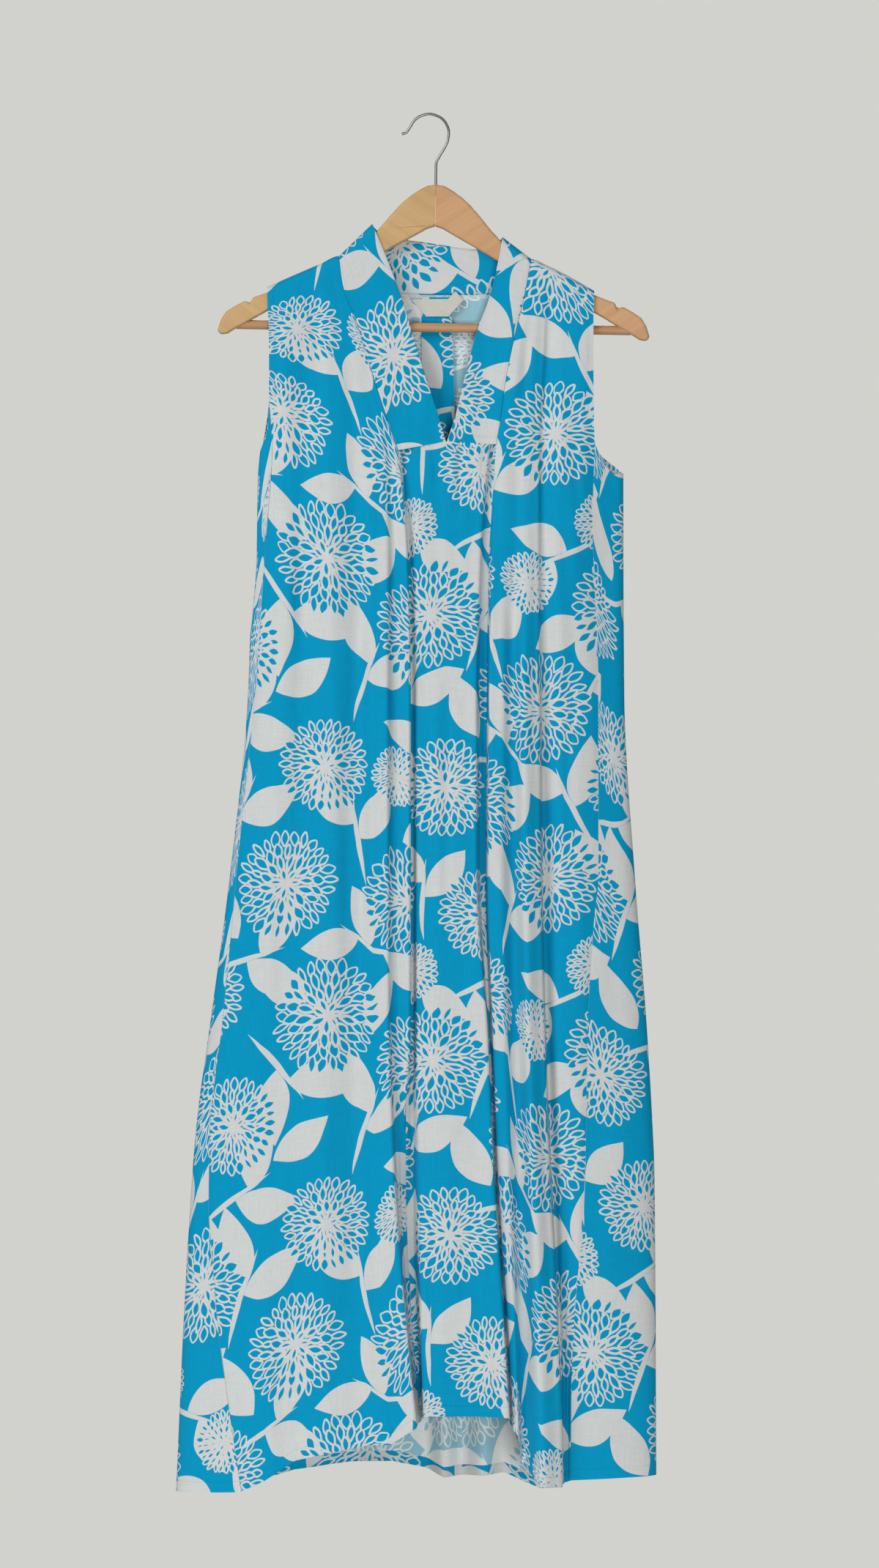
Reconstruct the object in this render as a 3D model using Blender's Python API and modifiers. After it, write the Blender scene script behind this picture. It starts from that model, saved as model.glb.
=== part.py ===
"""Sleeveless high-low dress hanging on a wooden hanger.

The origin is the underside of the hook's crown, where the hook hangs on a rail. +Z is up, the front of the
dress faces -Y, and +X is to the right of someone who looks at its front. Sizes are in millimetres in the
tables and become metres where a shape is made. Each cloth panel is a sheet of wall CLOTH thick, lofted
between lines that run down the dress: its two seams, and the folds between them.
"""

import math
from collections import namedtuple

import bmesh
import bpy
from mathutils import Vector

MM = 0.001

# Driving sizes of the cloth
CLOTH = 1.6
BAND = 2.0
STRIP = 1.2
LABEL = 0.8
LABEL_GAP = 0.1
SEAM_GAP = 0.3
SHOULDER_ROUND = 7.0
RIDGE_HALF_GAP = 0.4
EDGE_ROUNDNESS = 2.2
ARMHOLE_CLOSES_OVER = 110.0
SEAM_FLAT = 1.5
SEAM_FLAT_SHARE = 0.45
COLLAR_GAP = 1.0
FOLD_SPACING = 1.3
FOLD_START = 12.0
COLLAR_SHOULDER_SLOPE = 200.0
SEAM_REACH = 1.0

# Driving sizes of the hanger
SHAFT_X = 6.8
WIRE_RADIUS = 1.4
HANGER_THICK = 13.0
HANGER_TOP = -71.5
HANGER_TILT = 0.9
HANGER_EDGE = 4.0
EDGE_SEGMENTS = 3
EDGE_ANGLE = 60.0
BAR_RADIUS = 4.75
BAR_DROP = 147.3
BAR_HALF = 203.0
SHAFT_DEPTH = 12.0
ROD_SIDES = 24
DRILL_SIDES = 16
WIRE_RESOLUTION = 3
MERGE_DISTANCE = 0.001

# Rows of the sheets: how far below a shoulder ridge the first ones lie, then shares of the way down to the
# underarm or the foot of the neckband, then even rows down to the hem.
RIDGE_ROWS = (0.0, 0.3, 1.5, 4.0, 8.0)
YOKE_ROWS = (0.25, 0.5, 0.72, 0.88, 1.0)
SKIRT_ROWS = 16

# Heights at which each fold is measured: chest, foot of the neckband, bust, waist, hip, thigh, knee, calf, hem.
HEIGHTS = (-245, -337, -456, -599, -787, -937, -1088, -1239, -1382)

# How far the front and the back stand from the middle of the hanger, as (height, distance).
FRONT_DEPTH = (
    (-112, 9), (-180, 9), (-245, 12), (-337, 17), (-456, 22), (-599, 26), (-937, 34), (-1239, 40), (-1420, 43)
)
BACK_DEPTH = (
    (-112, 9), (-180, 10), (-245, 11), (-337, 13), (-456, 14), (-599, 16), (-937, 21), (-1239, 27), (-1420, 30)
)

# The ridge where front and back meet on the shoulders, the neckband's foot on the front, and the seam of the
# standing collar on the back, each as (across, height).
SHOULDER = (
    (-167, -177), (-140, -165), (-112, -153), (-93, -145), (105, -148), (120, -154), (142, -165), (170, -181),
)
BAND_FOOT = ((-32, -346.0), (17.2, -337.0), (69, -340.0))
COLLAR_SEAM = (
    (-93, -145), (-84, -163), (-65, -178.5), (-29, -184.5), (16, -185), (61, -184.5), (86, -175), (99, -160),
    (105, -148),
)

# Seams and free edges, shared by the pieces on both sides of them, as (height, across, stands out).
SEAMS = {
    "left_side": (
        (-177, -167, 0), (-245, -165, 0), (-290, -165, 0), (-343, -162, 0), (-420, -167, 0), (-478, -171, 0),
        (-591, -179, 0), (-735, -194, 0), (-934, -213, 0), (-1050, -226, 0), (-1126, -227, 0), (-1178, -223, 0),
        (-1239, -218, 0), (-1314, -208, 0), (-1416, -193, 0),
    ),
    "left_princess": (
        (-145, -93, 0), (-175, -89, 0), (-207, -77, 0), (-246, -65, 0), (-296, -49, 0), (-326, -39, 0),
        (-346, -32, 0), (-373, -27, -2), (-456, -25, -4), (-599, -23, -5), (-937, -23, -7), (-1050, -24, -9),
        (-1100, -24, -15), (-1239, -18, -20), (-1343, -9, -22),
    ),
    "right_princess": (
        (-148, 105, 0), (-191, 97, 0), (-215, 91, 0), (-272, 79, 0), (-316, 73, 0), (-340, 69, 0),
        (-411, 64, -3), (-456, 61.5, -6), (-630, 59, -10), (-787, 58, -12), (-937, 62.5, -12), (-1088, 68, -12),
        (-1239, 78, -12), (-1347, 84, -12),
    ),
    "right_side": (
        (-181, 170, 0), (-213, 169, 0), (-276, 169, 0), (-335, 170, 0), (-425, 168, 0), (-478, 170, 0),
        (-591, 174, 0), (-787, 174, 0), (-822, 170, 0), (-934, 163, 0), (-1088, 160, 0), (-1175, 154, -1),
        (-1239, 149, -2), (-1302, 146, -3), (-1404, 145, -4),
    ),
    "left_back": (
        (-177, -167, 0), (-245, -164, 0), (-300, -166, 0), (-335, -171, 0), (-347, -173, 0), (-400, -169, 0),
        (-456, -168, 0), (-599, -177, 0), (-787, -196, 0), (-937, -215, 0), (-1088, -233, 0), (-1239, -242, 0),
        (-1419, -249, 0),
    ),
    "right_back": (
        (-181, 170, 0), (-245, 168, 0), (-320, 169, 0), (-345, 173, 0), (-356, 183, 0), (-364, 194, 0),
        (-369, 199, 0), (-410, 192, 0), (-456, 190, 0), (-599, 192, 0), (-787, 203, 0), (-937, 214, 0),
        (-1088, 222, 0), (-1401, 224, 0),
    ),
    "centre_back": ((-185, 23, 0), (-337, 24, 0), (-599, 27, 1), (-937, 30, 3), (-1239, 33, 5), (-1405, 34, 6)),
}

# Where the yoke part of each seam ends: the armhole's start on a side seam, the band's foot on a princess seam.
JOINS = {
    "left_side": -290, "left_princess": -346, "right_princess": -340, "right_side": -335,
    "left_back": -347, "right_back": -369, "centre_back": -355,
}

# The silhouette of the two sides, as (height, across).
LEFT_OUTLINE = (
    (-177, -167), (-245, -165), (-320, -170), (-347, -174.5), (-380, -177), (-456, -178), (-545, -185),
    (-599, -187), (-787, -206), (-937, -226), (-1040, -240), (-1088, -244), (-1239, -253), (-1418, -261),
)
RIGHT_OUTLINE = (
    (-181, 170), (-245, 169), (-320, 190), (-369, 200), (-410, 200), (-599, 201), (-787, 212), (-937, 224),
    (-1040, 230), (-1088, 232), (-1401, 234),
)

# The foot of each armhole on the side panel, from the seam to the outline, as (share of the width, height).
LEFT_ARMHOLE_FOOT = ((0, -290), (0.5, -320), (1, -347))
RIGHT_ARMHOLE_FOOT = ((0, -335), (0.23, -352), (0.53, -366), (0.75, -370.5), (1, -369))

# Folds of the cloth, from the left of each panel to its right. Columns: name, cells up to the next line,
# across at the top edge, height of the hem, across at each of HEIGHTS, how far it stands out at each.
Fold = namedtuple("Fold", "name cells top hem across out")
FRONT_LEFT = (
    Fold("outer", 2, -149, -1404, (-146, -145, -146, -151, -164, -172, -178, -176, -169),
        (1, 1, 2, 2, 2, 2, 2, 2, 2)),
    Fold("soft_fold", 2, -120, -1383, (-120, -127, -130, -127, -131, -133, -134, -136, -137),
        (-3, -4, -3, -2, -1, -1, -1, -1, -1)),
    Fold("outer_crest", 2, -107, -1375, (-105, -102, -102, -101, -101, -102, -104, -105, -102),
        (2, 3, 3, 3, 3, 3, 3, 3, 3)),
    Fold("crease", 2, -101, -1367, (-86, -77, -75, -71, -72, -74, -72, -69, -62),
        (-0.5, -2, -4, -5, -5, -4, -4, -3, -2)),
    Fold("crest", 2, -98, -1366, (-78, -61, -59, -57, -57, -58, -56, -48, -39),
        (0, 0, 1, 2, 2, 3, 3, 4, 4)),
    Fold("tuck_edge", 1, -96, -1348, (-72, -48, -43, -43, -43, -42, -36, -24, -13),
        (0, 0, 2, 4, 5, 6, 8, 10, 12)),
    Fold("tuck_valley", 2, -95.2, -1345, (-70, -43, -38, -38, -38, -38, -33, -22.5, -11.5),
        (0, -1, -3, -4, -4, -5, -7, -8, -5)),
    Fold("panel_edge", 1, -94, -1344, (-67, -36, -22, -19, -19, -19, -28, -21, -10),
        (0, 0.5, 3, 4, 4, 4, -12, -16, -15)),
)
FRONT_CENTRE = (
    Fold("recess", 2, -26, -1341, (-26, -26, -20, -18, -17, -17, -17, -13, -7.5),
        (0, -1, -7, -8, -9, -11, -18, -21, -21)),
    Fold("left_edge", 2, -15, -1338, (-15, -15, -14, -12, -12, -12, -10, -8, -6),
        (0, 0, -1, -1, 0, 0, 1, 2, 2)),
    Fold("tuck_1", 2, -7, -1337, (-7, -7, -5, -2, -2, -2, 0, 2, 3), (-1.2, -1.2, -0.5, 0, 1, 1, 2, 3, 3)),
    Fold("tuck_2", 2, 4, -1337, (4, 4, 5, 8, 8, 8, 10, 11, 14), (-1.2, -1.2, 0, 1, 2, 2, 3, 3, 3)),
    Fold("tuck_3", 2, 17, -1337, (17, 17, 16, 17, 17, 18, 20, 23, 26), (-1.5, -1.5, 0, 1, 1, 2, 3, 3, 3)),
    Fold("tuck_4", 2, 33, -1337, (33, 33, 29, 27, 27, 32, 35, 41, 45), (-1.2, -1.2, 0, 1, 2, 2, 3, 3, 3)),
    Fold("tuck_5", 2, 47, -1338, (47, 47, 41, 38, 38, 46, 51, 59, 65), (-1, -1, 0.5, 1, 2, 3, 3, 4, 4)),
    Fold("right_edge", 1, 60, -1339, (60, 60, 52, 48, 48, 59, 66, 76, 82), (0, 0, 1, 2, 3, 4, 4, 5, 5)),
    Fold("right_recess", 1, 65, -1342, (65, 65, 56, 52, 53, 60.5, 66.8, 76.8, 82.8),
        (0, 0, -6, -12, -14, -11, -9, -9, -9)),
)
FRONT_RIGHT = (
    Fold("strip_edge", 2, 107, -1353, (87, 72, 65, 62, 61, 65.5, 71, 81, 87),
        (0, 0, 1, 2, 2, 0, -2, -2, -2)),
    Fold("strip", 2, 109, -1357, (93, 80, 75, 75, 74, 77, 81, 87, 91), (1, 1, 2, 4, 4, 3, 1, 1, 1)),
    Fold("strip_valley", 3, 113, -1385, (100, 90, 87, 84, 85, 87, 91, 94, 95),
        (0, 0, -1, -5, -6, -7, -8, -9, -9)),
    Fold("tube", 3, 117, -1409, (108, 101, 99, 98, 99, 102, 107, 112, 115),
        (1, 2, 4, 8, 10, 12, 14, 16, 17)),
    Fold("tube_edge", 1, 120, -1410, (117, 112, 112, 113, 114, 118, 123, 131, 136),
        (0, 1, 2, 3, 5, 6, 7, 8, 9)),
    Fold("tube_valley", 2, 123, -1409, (121, 116, 115, 116, 117, 120, 126, 133, 137.5),
        (-2, -3, -3, -6, -8, -10, -12, -14, -14)),
    Fold("side_crest", 1, 137, -1407, (137, 135, 133, 134, 135, 133, 136, 138, 138.5),
        (1, 2, 3, 2, 1, 0, -4, -9, -12)),
    Fold("side_flat", 1, 155, -1406, (154, 154, 152, 155, 157, 149, 148, 143.5, 141.5),
        (1, 1, 2, 2, 2, 1, 0, -5, -9)),
)
BACK_LEFT = (
    Fold("b1", 2, -140, -1415, (-140, -142, -143, -149, -161, -172, -181, -187, -193),
        (1, 2, 3, 4, 5, 6, 7, 8, 9)),
    Fold("b2", 2, -117, -1398, (-116, -117, -119, -122, -129, -134, -139, -140, -140),
        (0, -1, -2, -3, -4, -5, -5, -6, -6)),
    Fold("b3", 1, -93, -1392, (-87, -84, -83, -81, -83, -84, -86, -87, -87), (1, 1, 2, 3, 4, 5, 5, 6, 6)),
    Fold("b3_neck", 1, -92, -1391.8, (-86, -83, -82, -80, -82, -83, -85, -86, -86),
        (1, 1, 2, 3, 4, 5, 5, 6, 6)),
    Fold("b3_fall", 2, -90, -1391.5, (-84, -81, -80, -78, -80, -81, -83, -84, -84),
        (1, 1, 2, 3, 4, 5, 5, 6, 6)),
    Fold("b4", 2, -71, -1389, (-65, -59, -53, -51, -50, -48, -45, -42, -38),
        (0, 0, -1, -3, -5, -6, -7, -8, -8)),
    Fold("b5", 2, -29, -1398, (-27, -23, -20, -16, -14, -11, -8, -5, -2), (0, 0, 0, 2, 3, 4, 5, 6, 6)),
    Fold("b6", 2, -1, -1406, (1, 3, 5, 8, 9, 11, 12, 14, 15), (0, 0, 0, -3, -5, -7, -9, -11, -12)),
)
BACK_RIGHT = (
    Fold("c1", 2, 41, -1404, (42, 44, 47, 48, 50, 51, 53, 54, 56), (0, 0, 0, -3, -5, -7, -9, -11, -12)),
    Fold("c2", 2, 61, -1402, (62, 63, 66, 68, 70, 72, 75, 76, 77), (0, 0, 1, 3, 4, 5, 5, 6, 6)),
    Fold("c3", 2, 86, -1417, (87, 90, 93, 97, 101, 105, 108, 111, 114), (0, 0, -1, -2, -4, -5, -6, -7, -8)),
    Fold("c4_fall", 1, 102.5, -1412.5, (104.5, 110, 115, 120, 125, 129, 134, 137, 140),
        (1, 1, 2, 3, 4, 5, 6, 7, 8)),
    Fold("c4_neck", 1, 104.2, -1412, (106, 111, 116, 121, 126, 130, 135, 138, 141),
        (1, 1, 2, 3, 4, 5, 6, 7, 8)),
    Fold("c4", 2, 105, -1412, (107, 112, 117, 122, 127, 131, 136, 139, 142), (1, 1, 2, 3, 4, 5, 6, 7, 8)),
    Fold("c5", 2, 139, -1404, (135, 140, 148, 152, 158, 164, 170, 175, 180),
        (0, -1, -1, -2, -3, -3, -4, -4, -4)),
)
SEAM_CELLS = 2
SIDE_CELLS = 4

# The free inner edge of each neckband half, from the shoulder to the point of the neck, as (height, across).
LEFT_BAND_EDGE = ((-112, -59), (-142, -46), (-195, -26.5), (-255, -8.5), (-312, 10), (-337, 17.2))
RIGHT_BAND_EDGE = ((-125.5, 75.5), (-160, 69), (-191, 61), (-223, 49), (-260, 39), (-309.5, 27), (-337, 18))
BAND_CELLS = 5
COLLAR_CELLS = 4

# The standing collar round the back of the neck. Columns: share of its length, across and height of its seam,
# across and height of its free top edge.
COLLAR = (
    (0.0, -93, -145, -59, -112), (0.09, -84, -163, -55, -117), (0.19, -65, -178.5, -42, -126),
    (0.35, -29, -184.5, -17, -128.5), (0.54, 16, -185, 20, -134), (0.74, 61, -184.5, 48, -137),
    (0.855, 86, -175, 62, -135.5), (0.94, 99, -160, 70, -131.5), (1.0, 105, -148, 75.5, -125.5),
)
COLLAR_COLUMNS = (
    0.0, 0.0025, 0.012, 0.03, 0.06, 0.1, 0.15, 0.21, 0.28, 0.36, 0.45, 0.54, 0.63, 0.71, 0.78, 0.84, 0.89, 0.93,
    0.96, 0.982, 0.994, 0.998, 1.0,
)

# Facing strip down the inside of the centre back, and the bare label on it.
STRIP_LEFT = ((-187, -8), (-260, -8), (-420, -6))
STRIP_RIGHT = ((-187, 22), (-260, 25), (-420, 28))
STRIP_TOP = -187.0
STRIP_FOOT = -420.0
STRIP_ROWS = 10
STRIP_CELLS = 4
LABEL_OUTLINE = ((-19, -189), (-3, -207), (20, -207), (35, -189))

# One arm of the hanger, level and measured from its middle: across and height of the top edge out to the tip,
# with the notch near it, then of the lower edge back to the middle.
ARM = (
    (0.15, -71.5), (9, -73), (18, -78), (27, -84.5), (36, -92.5), (47, -105), (57, -117), (70, -131),
    (85, -144.5), (99, -153.4), (118, -160.5), (135, -167.5), (147, -173), (163, -182), (176, -187),
    (186, -190.5), (189.5, -197), (194, -194), (206, -200.5), (214, -206), (219, -214), (222.5, -225),
    (220, -229.5), (212, -228), (204, -223), (190, -215), (172, -204.5), (120, -177), (62, -148), (40, -135),
    (21, -124.5), (8, -117), (0.15, -114.5),
)

# The wire of the hook from inside the wood up and over its crown to its tip, as across from the shaft, height.
HOOK = (
    (0, -83), (0, -66), (0.2, -50), (3.2, -43), (8.6, -34), (12.4, -25.5), (13.3, -17), (10.6, -8.5),
    (3.6, -1.6), (-6.8, 1.4), (-16.5, -1.0), (-22.6, -5.8), (-27.2, -13), (-31.0, -18.0), (-35.2, -19.2),
)
HOOK_STEPS = 35


def curve(points):
    """A smooth function through (position, value) pairs, level past its ends and with no overshoot."""
    points = sorted(points)
    at = [p[0] for p in points]
    value = [p[1] for p in points]
    step = [b - a for a, b in zip(at, at[1:])]
    slope = [(b - a) / s for a, b, s in zip(value, value[1:], step)]
    tangent = [slope[0]]
    for (s0, m0), (s1, m1) in zip(zip(step, slope), zip(step[1:], slope[1:])):
        same_way = m0 * m1 > 0
        w0 = 2 * s1 + s0
        w1 = s1 + 2 * s0
        tangent.append((w0 + w1) / (w0 / m0 + w1 / m1) if same_way else 0.0)
    tangent.append(slope[-1])

    def read(t):
        t = min(max(t, at[0]), at[-1])
        i = 0
        while i < len(step) - 1 and t > at[i + 1]:
            i += 1
        s = step[i]
        u = (t - at[i]) / s
        start = value[i] * (1 + 2 * u) * (1 - u) ** 2 + tangent[i] * s * u * (1 - u) ** 2
        end = value[i + 1] * u * u * (3 - 2 * u) + tangent[i + 1] * s * u * u * (u - 1)
        return start + end

    return read


def mix(a, b, share):
    return a + (b - a) * share


def straight(points):
    """A function through (position, value) pairs with straight runs between them."""
    def read(t):
        for (t0, v0), (t1, v1) in zip(points, points[1:]):
            if t <= t1:
                break
        return mix(v0, v1, (t - t0) / (t1 - t0))

    return read


def ease(share):
    share = min(max(share, 0.0), 1.0)
    return share * share * (3 - 2 * share)


front_depth = curve(FRONT_DEPTH)
back_depth = curve(BACK_DEPTH)
shoulder_height = curve(SHOULDER)
band_foot_height = straight(BAND_FOOT)
collar_seam_height = curve(COLLAR_SEAM)
left_outline = curve(LEFT_OUTLINE)
right_outline = curve(RIGHT_OUTLINE)

Line = namedtuple("Line", "across out top join hem cells")


def seam_line(name, top=None, cells=SEAM_CELLS):
    """The line of a named seam. With a top it starts there instead of at its first point."""
    rows = SEAMS[name]
    across = curve([(z, x) for z, x, _ in rows])
    out = curve([(z, o) for z, _, o in rows])
    start = rows[0][0] if top is None else top
    return Line(across, out, start, JOINS[name], rows[-1][0], cells)


def fold_line(fold, top_edge, join, top_out):
    """The line of one fold. It takes the shape of the rows from FOLD_START below the panel's top edge."""
    start = top_edge(fold.top)
    rows = zip(HEIGHTS, fold.across, fold.out)
    below = [(z, x, o) for z, x, o in rows if fold.hem < z < start - FOLD_START]
    across = curve([(start, fold.top)] + [(z, x) for z, x, _ in below] + [(fold.hem, fold.across[-1])])
    first_out = below[0][2] if top_out is None else top_out
    out = curve([(start, first_out)] + [(z, o) for z, _, o in below] + [(fold.hem, fold.out[-1])])
    return Line(across, out, start, join, fold.hem, fold.cells)


def between_seams(lines):
    """The same lines, with each fold kept clear of both seams down to the foot of the yoke."""
    first = lines[0]
    last = lines[-1]
    kept = [first]
    for i, line in enumerate(lines[1:-1], 1):
        def across(z, line=line, before=i * FOLD_SPACING, after=(len(lines) - 1 - i) * FOLD_SPACING):
            x = line.across(z)
            if z < line.join:
                return x
            return min(max(x, first.across(z) + before), last.across(z) - after)
        kept.append(line._replace(across=across))
    return kept + [last]


def wrap(x, z):
    """1 on the flat of the dress, 0 at its outline, where front turns into back. Armhole edges stay apart."""
    left = left_outline(z)
    right = right_outline(z)
    middle = (left + right) / 2
    half = (right - left) / 2
    share = min(1.0, abs(x - middle) / half)
    turned = (1 - share**EDGE_ROUNDNESS) ** (1 / EDGE_ROUNDNESS)
    foot = LEFT_ARMHOLE_FOOT[-1][1] if x < middle else RIGHT_ARMHOLE_FOOT[-1][1]
    apart = ease((z - foot) / ARMHOLE_CLOSES_OVER)
    return mix(turned, 1.0, apart)


def ridge(below):
    """How much of its full depth a sheet has at this distance below the ridge of the shoulder."""
    short = 1 - min(max(below, 0.0), SHOULDER_ROUND) / SHOULDER_ROUND
    return math.sqrt(1 - short * short)


def front_y(x, z, out, below):
    return -max(RIDGE_HALF_GAP, (front_depth(z) * wrap(x, z) + out) * ridge(below))


def back_y(x, z, out, below):
    return max(RIDGE_HALF_GAP, (back_depth(z) * wrap(x, z) + out) * ridge(below))


def row_heights(top, join, hem, has_yoke):
    """Heights of the rows down one column: near the ridge, down to the join, then down to the hem."""
    rows = [top]
    if has_yoke:
        rows = [top - d for d in RIDGE_ROWS]
        rows += [mix(rows[-1], join, share) for share in YOKE_ROWS]
    start = rows[-1]
    return rows + [mix(start, hem, r / SKIRT_ROWS) for r in range(1, SKIRT_ROWS + 1)]


def panel_grid(lines, top_edge, depth_of):
    """Rows of points of the outer face, lofted from line to line with rounded folds between."""
    has_yoke = lines[0].top > lines[0].join + 1
    columns = []
    for left, right in zip(lines, lines[1:]):
        last = right is lines[-1]
        for c in range(left.cells + last):
            share = c / left.cells
            top = top_edge(mix(left.across(left.top), right.across(right.top), share))
            join = mix(left.join, right.join, share)
            column = []
            for z in row_heights(top, join, mix(left.hem, right.hem, share), has_yoke):
                x = mix(left.across(z), right.across(z), share)
                out = mix(left.out(z), right.out(z), ease(share))
                column.append(Vector((x, depth_of(x, z, out, shoulder_height(x) - z), z)))
            columns.append(column)
    return [list(row) for row in zip(*columns)]


def beside_seam(seam, beyond, depth_of):
    """A point just beside a seam, level with the plain form there, so that the walls of both pieces line up."""
    x, _, z = seam
    plain = [depth_of(x + side, z, 0, shoulder_height(x) - z) for side in (-SEAM_REACH, SEAM_REACH)]
    along = Vector((2 * SEAM_REACH, plain[1] - plain[0], 0)).normalized()
    if along.x * (beyond.x - seam.x) < 0:
        along = -along
    return seam + along * min(SEAM_FLAT, SEAM_FLAT_SHARE * (beyond - seam).length)


def trim_sides(grid, depth_first, depth_last):
    """Adds a narrow flat beside each seam and draws the edge in by half a seam gap. None is a free edge."""
    for row in grid:
        if depth_first:
            first = beside_seam(row[0], row[1], depth_first)
            row[0] = row[0] + (first - row[0]).normalized() * (SEAM_GAP / 2)
            row.insert(1, first)
        if depth_last:
            last = beside_seam(row[-1], row[-2], depth_last)
            row[-1] = row[-1] + (last - row[-1]).normalized() * (SEAM_GAP / 2)
            row.insert(-1, last)


def trim_top(grid):
    """Draws the top edge down by a seam gap."""
    for top, below in zip(grid[0], grid[1]):
        top += (below - top).normalized() * SEAM_GAP


def material(name, colour, roughness, metallic=0.0):
    made = bpy.data.materials.new(name)
    made.use_nodes = True
    shader = made.node_tree.nodes["Principled BSDF"]
    shader.inputs["Base Color"].default_value = (*colour, 1.0)
    shader.inputs["Roughness"].default_value = roughness
    shader.inputs["Metallic"].default_value = metallic
    return made


def placed(name, mesh, finish):
    piece = bpy.data.objects.new(name, mesh)
    piece.data.materials.append(finish)
    parts.objects.link(piece)
    return piece


def sheet(name, grid, thickness, faces_towards, finish):
    """A sheet of cloth: the grid is its outer face, and its wall goes on the other side of it."""
    body = bmesh.new()
    made = [[body.verts.new(point * MM) for point in row] for row in grid]
    for upper, lower in zip(made, made[1:]):
        for a, b, c, d in zip(upper, upper[1:], lower[1:], lower):
            body.faces.new((a, b, c, d))
    body.normal_update()
    towards = Vector(faces_towards)
    if sum((face.normal * face.calc_area()).dot(towards) for face in body.faces) < 0:
        bmesh.ops.reverse_faces(body, faces=body.faces[:])
    mesh = bpy.data.meshes.new(name)
    body.to_mesh(mesh)
    body.free()
    mesh.shade_smooth()
    piece = placed(name, mesh, finish)
    wall = piece.modifiers.new("Wall", "SOLIDIFY")
    wall.thickness = thickness * MM
    wall.offset = -1.0
    wall.use_quality_normals = True
    return piece


def front_panel(name, left_seam, folds, right_seam, top_edge, finish):
    joins = (JOINS[left_seam], JOINS[right_seam])
    centre = top_edge is band_foot_height
    lines = [seam_line(left_seam, JOINS[left_seam] if centre else None)]
    for i, fold in enumerate(folds):
        join = mix(*joins, (i + 1) / (len(folds) + 1))
        lines.append(fold_line(fold, top_edge, join, None if centre else 0.0))
    lines.append(seam_line(right_seam, JOINS[right_seam] if centre else None))
    grid = panel_grid(lines if centre else between_seams(lines), top_edge, front_y)
    trim_sides(grid, front_y, front_y)
    if centre:
        trim_top(grid)
    sheet(name, grid, CLOTH, (0, -1, 0), finish)


def back_top(x):
    """Height of a back panel's top edge: the shoulder ridge, then the seam of the collar."""
    inside_neck = COLLAR_SEAM[0][0] < x < COLLAR_SEAM[-1][0]
    return collar_seam_height(x) if inside_neck else shoulder_height(x)


def back_panel(name, left_seam, folds, right_seam, finish):
    joins = (JOINS[left_seam], JOINS[right_seam])
    lines = [seam_line(left_seam)]
    for i, fold in enumerate(folds):
        join = mix(*joins, (i + 1) / (len(folds) + 1))
        lines.append(fold_line(fold, back_top, join, 0.0))
    lines.append(seam_line(right_seam))
    grid = panel_grid(lines, back_top, back_y)
    trim_sides(grid, back_y, back_y)
    trim_top(grid)
    sheet(name, grid, CLOTH, (0, 1, 0), finish)


def side_panel(name, front_seam, outline, back_seam, armhole_foot, finish):
    """The panel under one arm, from its front seam round the outline to its seam behind."""
    on_left = front_seam.startswith("left")
    outline_hem = LEFT_OUTLINE[-1][0] if on_left else RIGHT_OUTLINE[-1][0]
    front = seam_line(front_seam)
    back = seam_line(back_seam)
    foot = curve(armhole_foot)
    columns = []
    for c in range(SIDE_CELLS + 1):
        columns.append(("front", math.sin(c / SIDE_CELLS * math.pi / 2)))
    for c in range(1, SIDE_CELLS + 1):
        columns.append(("back", 1 - math.cos(c / SIDE_CELLS * math.pi / 2)))
    grid = []
    for r in range(SKIRT_ROWS + 1):
        down = r / SKIRT_ROWS
        row = []
        for half, share in columns:
            if half == "front":
                z = mix(foot(share), mix(front.hem, outline_hem, share), down)
                x = mix(front.across(z), outline(z), share)
                y = 0.0
                if share < 1:
                    out = mix(front.out(z), 0.0, ease(share))
                    y = -(front_depth(z) * wrap(x, z) + out)
            else:
                z = mix(mix(foot(1), back.join, share), mix(outline_hem, back.hem, share), down)
                x = mix(outline(z), back.across(z), share)
                y = back_depth(z) * wrap(x, z)
            row.append(Vector((x, y, z)))
        grid.append(row)
    trim_sides(grid, front_y, back_y)
    sheet(name, grid, CLOTH, (-1 if on_left else 1, 0, 0), finish)


def neckband(name, seam_name, edge_points, finish):
    """One half of the neckband, from its seam with the front panel to its free inner edge."""
    seam = seam_line(seam_name)
    edge = curve(edge_points)
    edge_top = edge_points[0][0]
    edge_foot = edge_points[-1][0]
    heights = row_heights(seam.top, seam.join, seam.hem, True)[: len(RIDGE_ROWS) + len(YOKE_ROWS)]
    grid = []
    for z in heights:
        down = (seam.top - z) / (seam.top - seam.join)
        edge_z = mix(edge_top, edge_foot, down)
        x = seam.across(z)
        edge_x = edge(edge_z)
        outer = Vector((x, front_y(x, z, 0, seam.top - z), z))
        inner = Vector((edge_x, front_y(edge_x, edge_z, 0, edge_top - edge_z), edge_z))
        grid.append([outer.lerp(inner, c / BAND_CELLS) for c in range(BAND_CELLS + 1)])
    trim_sides(grid, front_y, None)
    sheet(name, grid, BAND, (0, -1, 0), finish)


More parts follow.
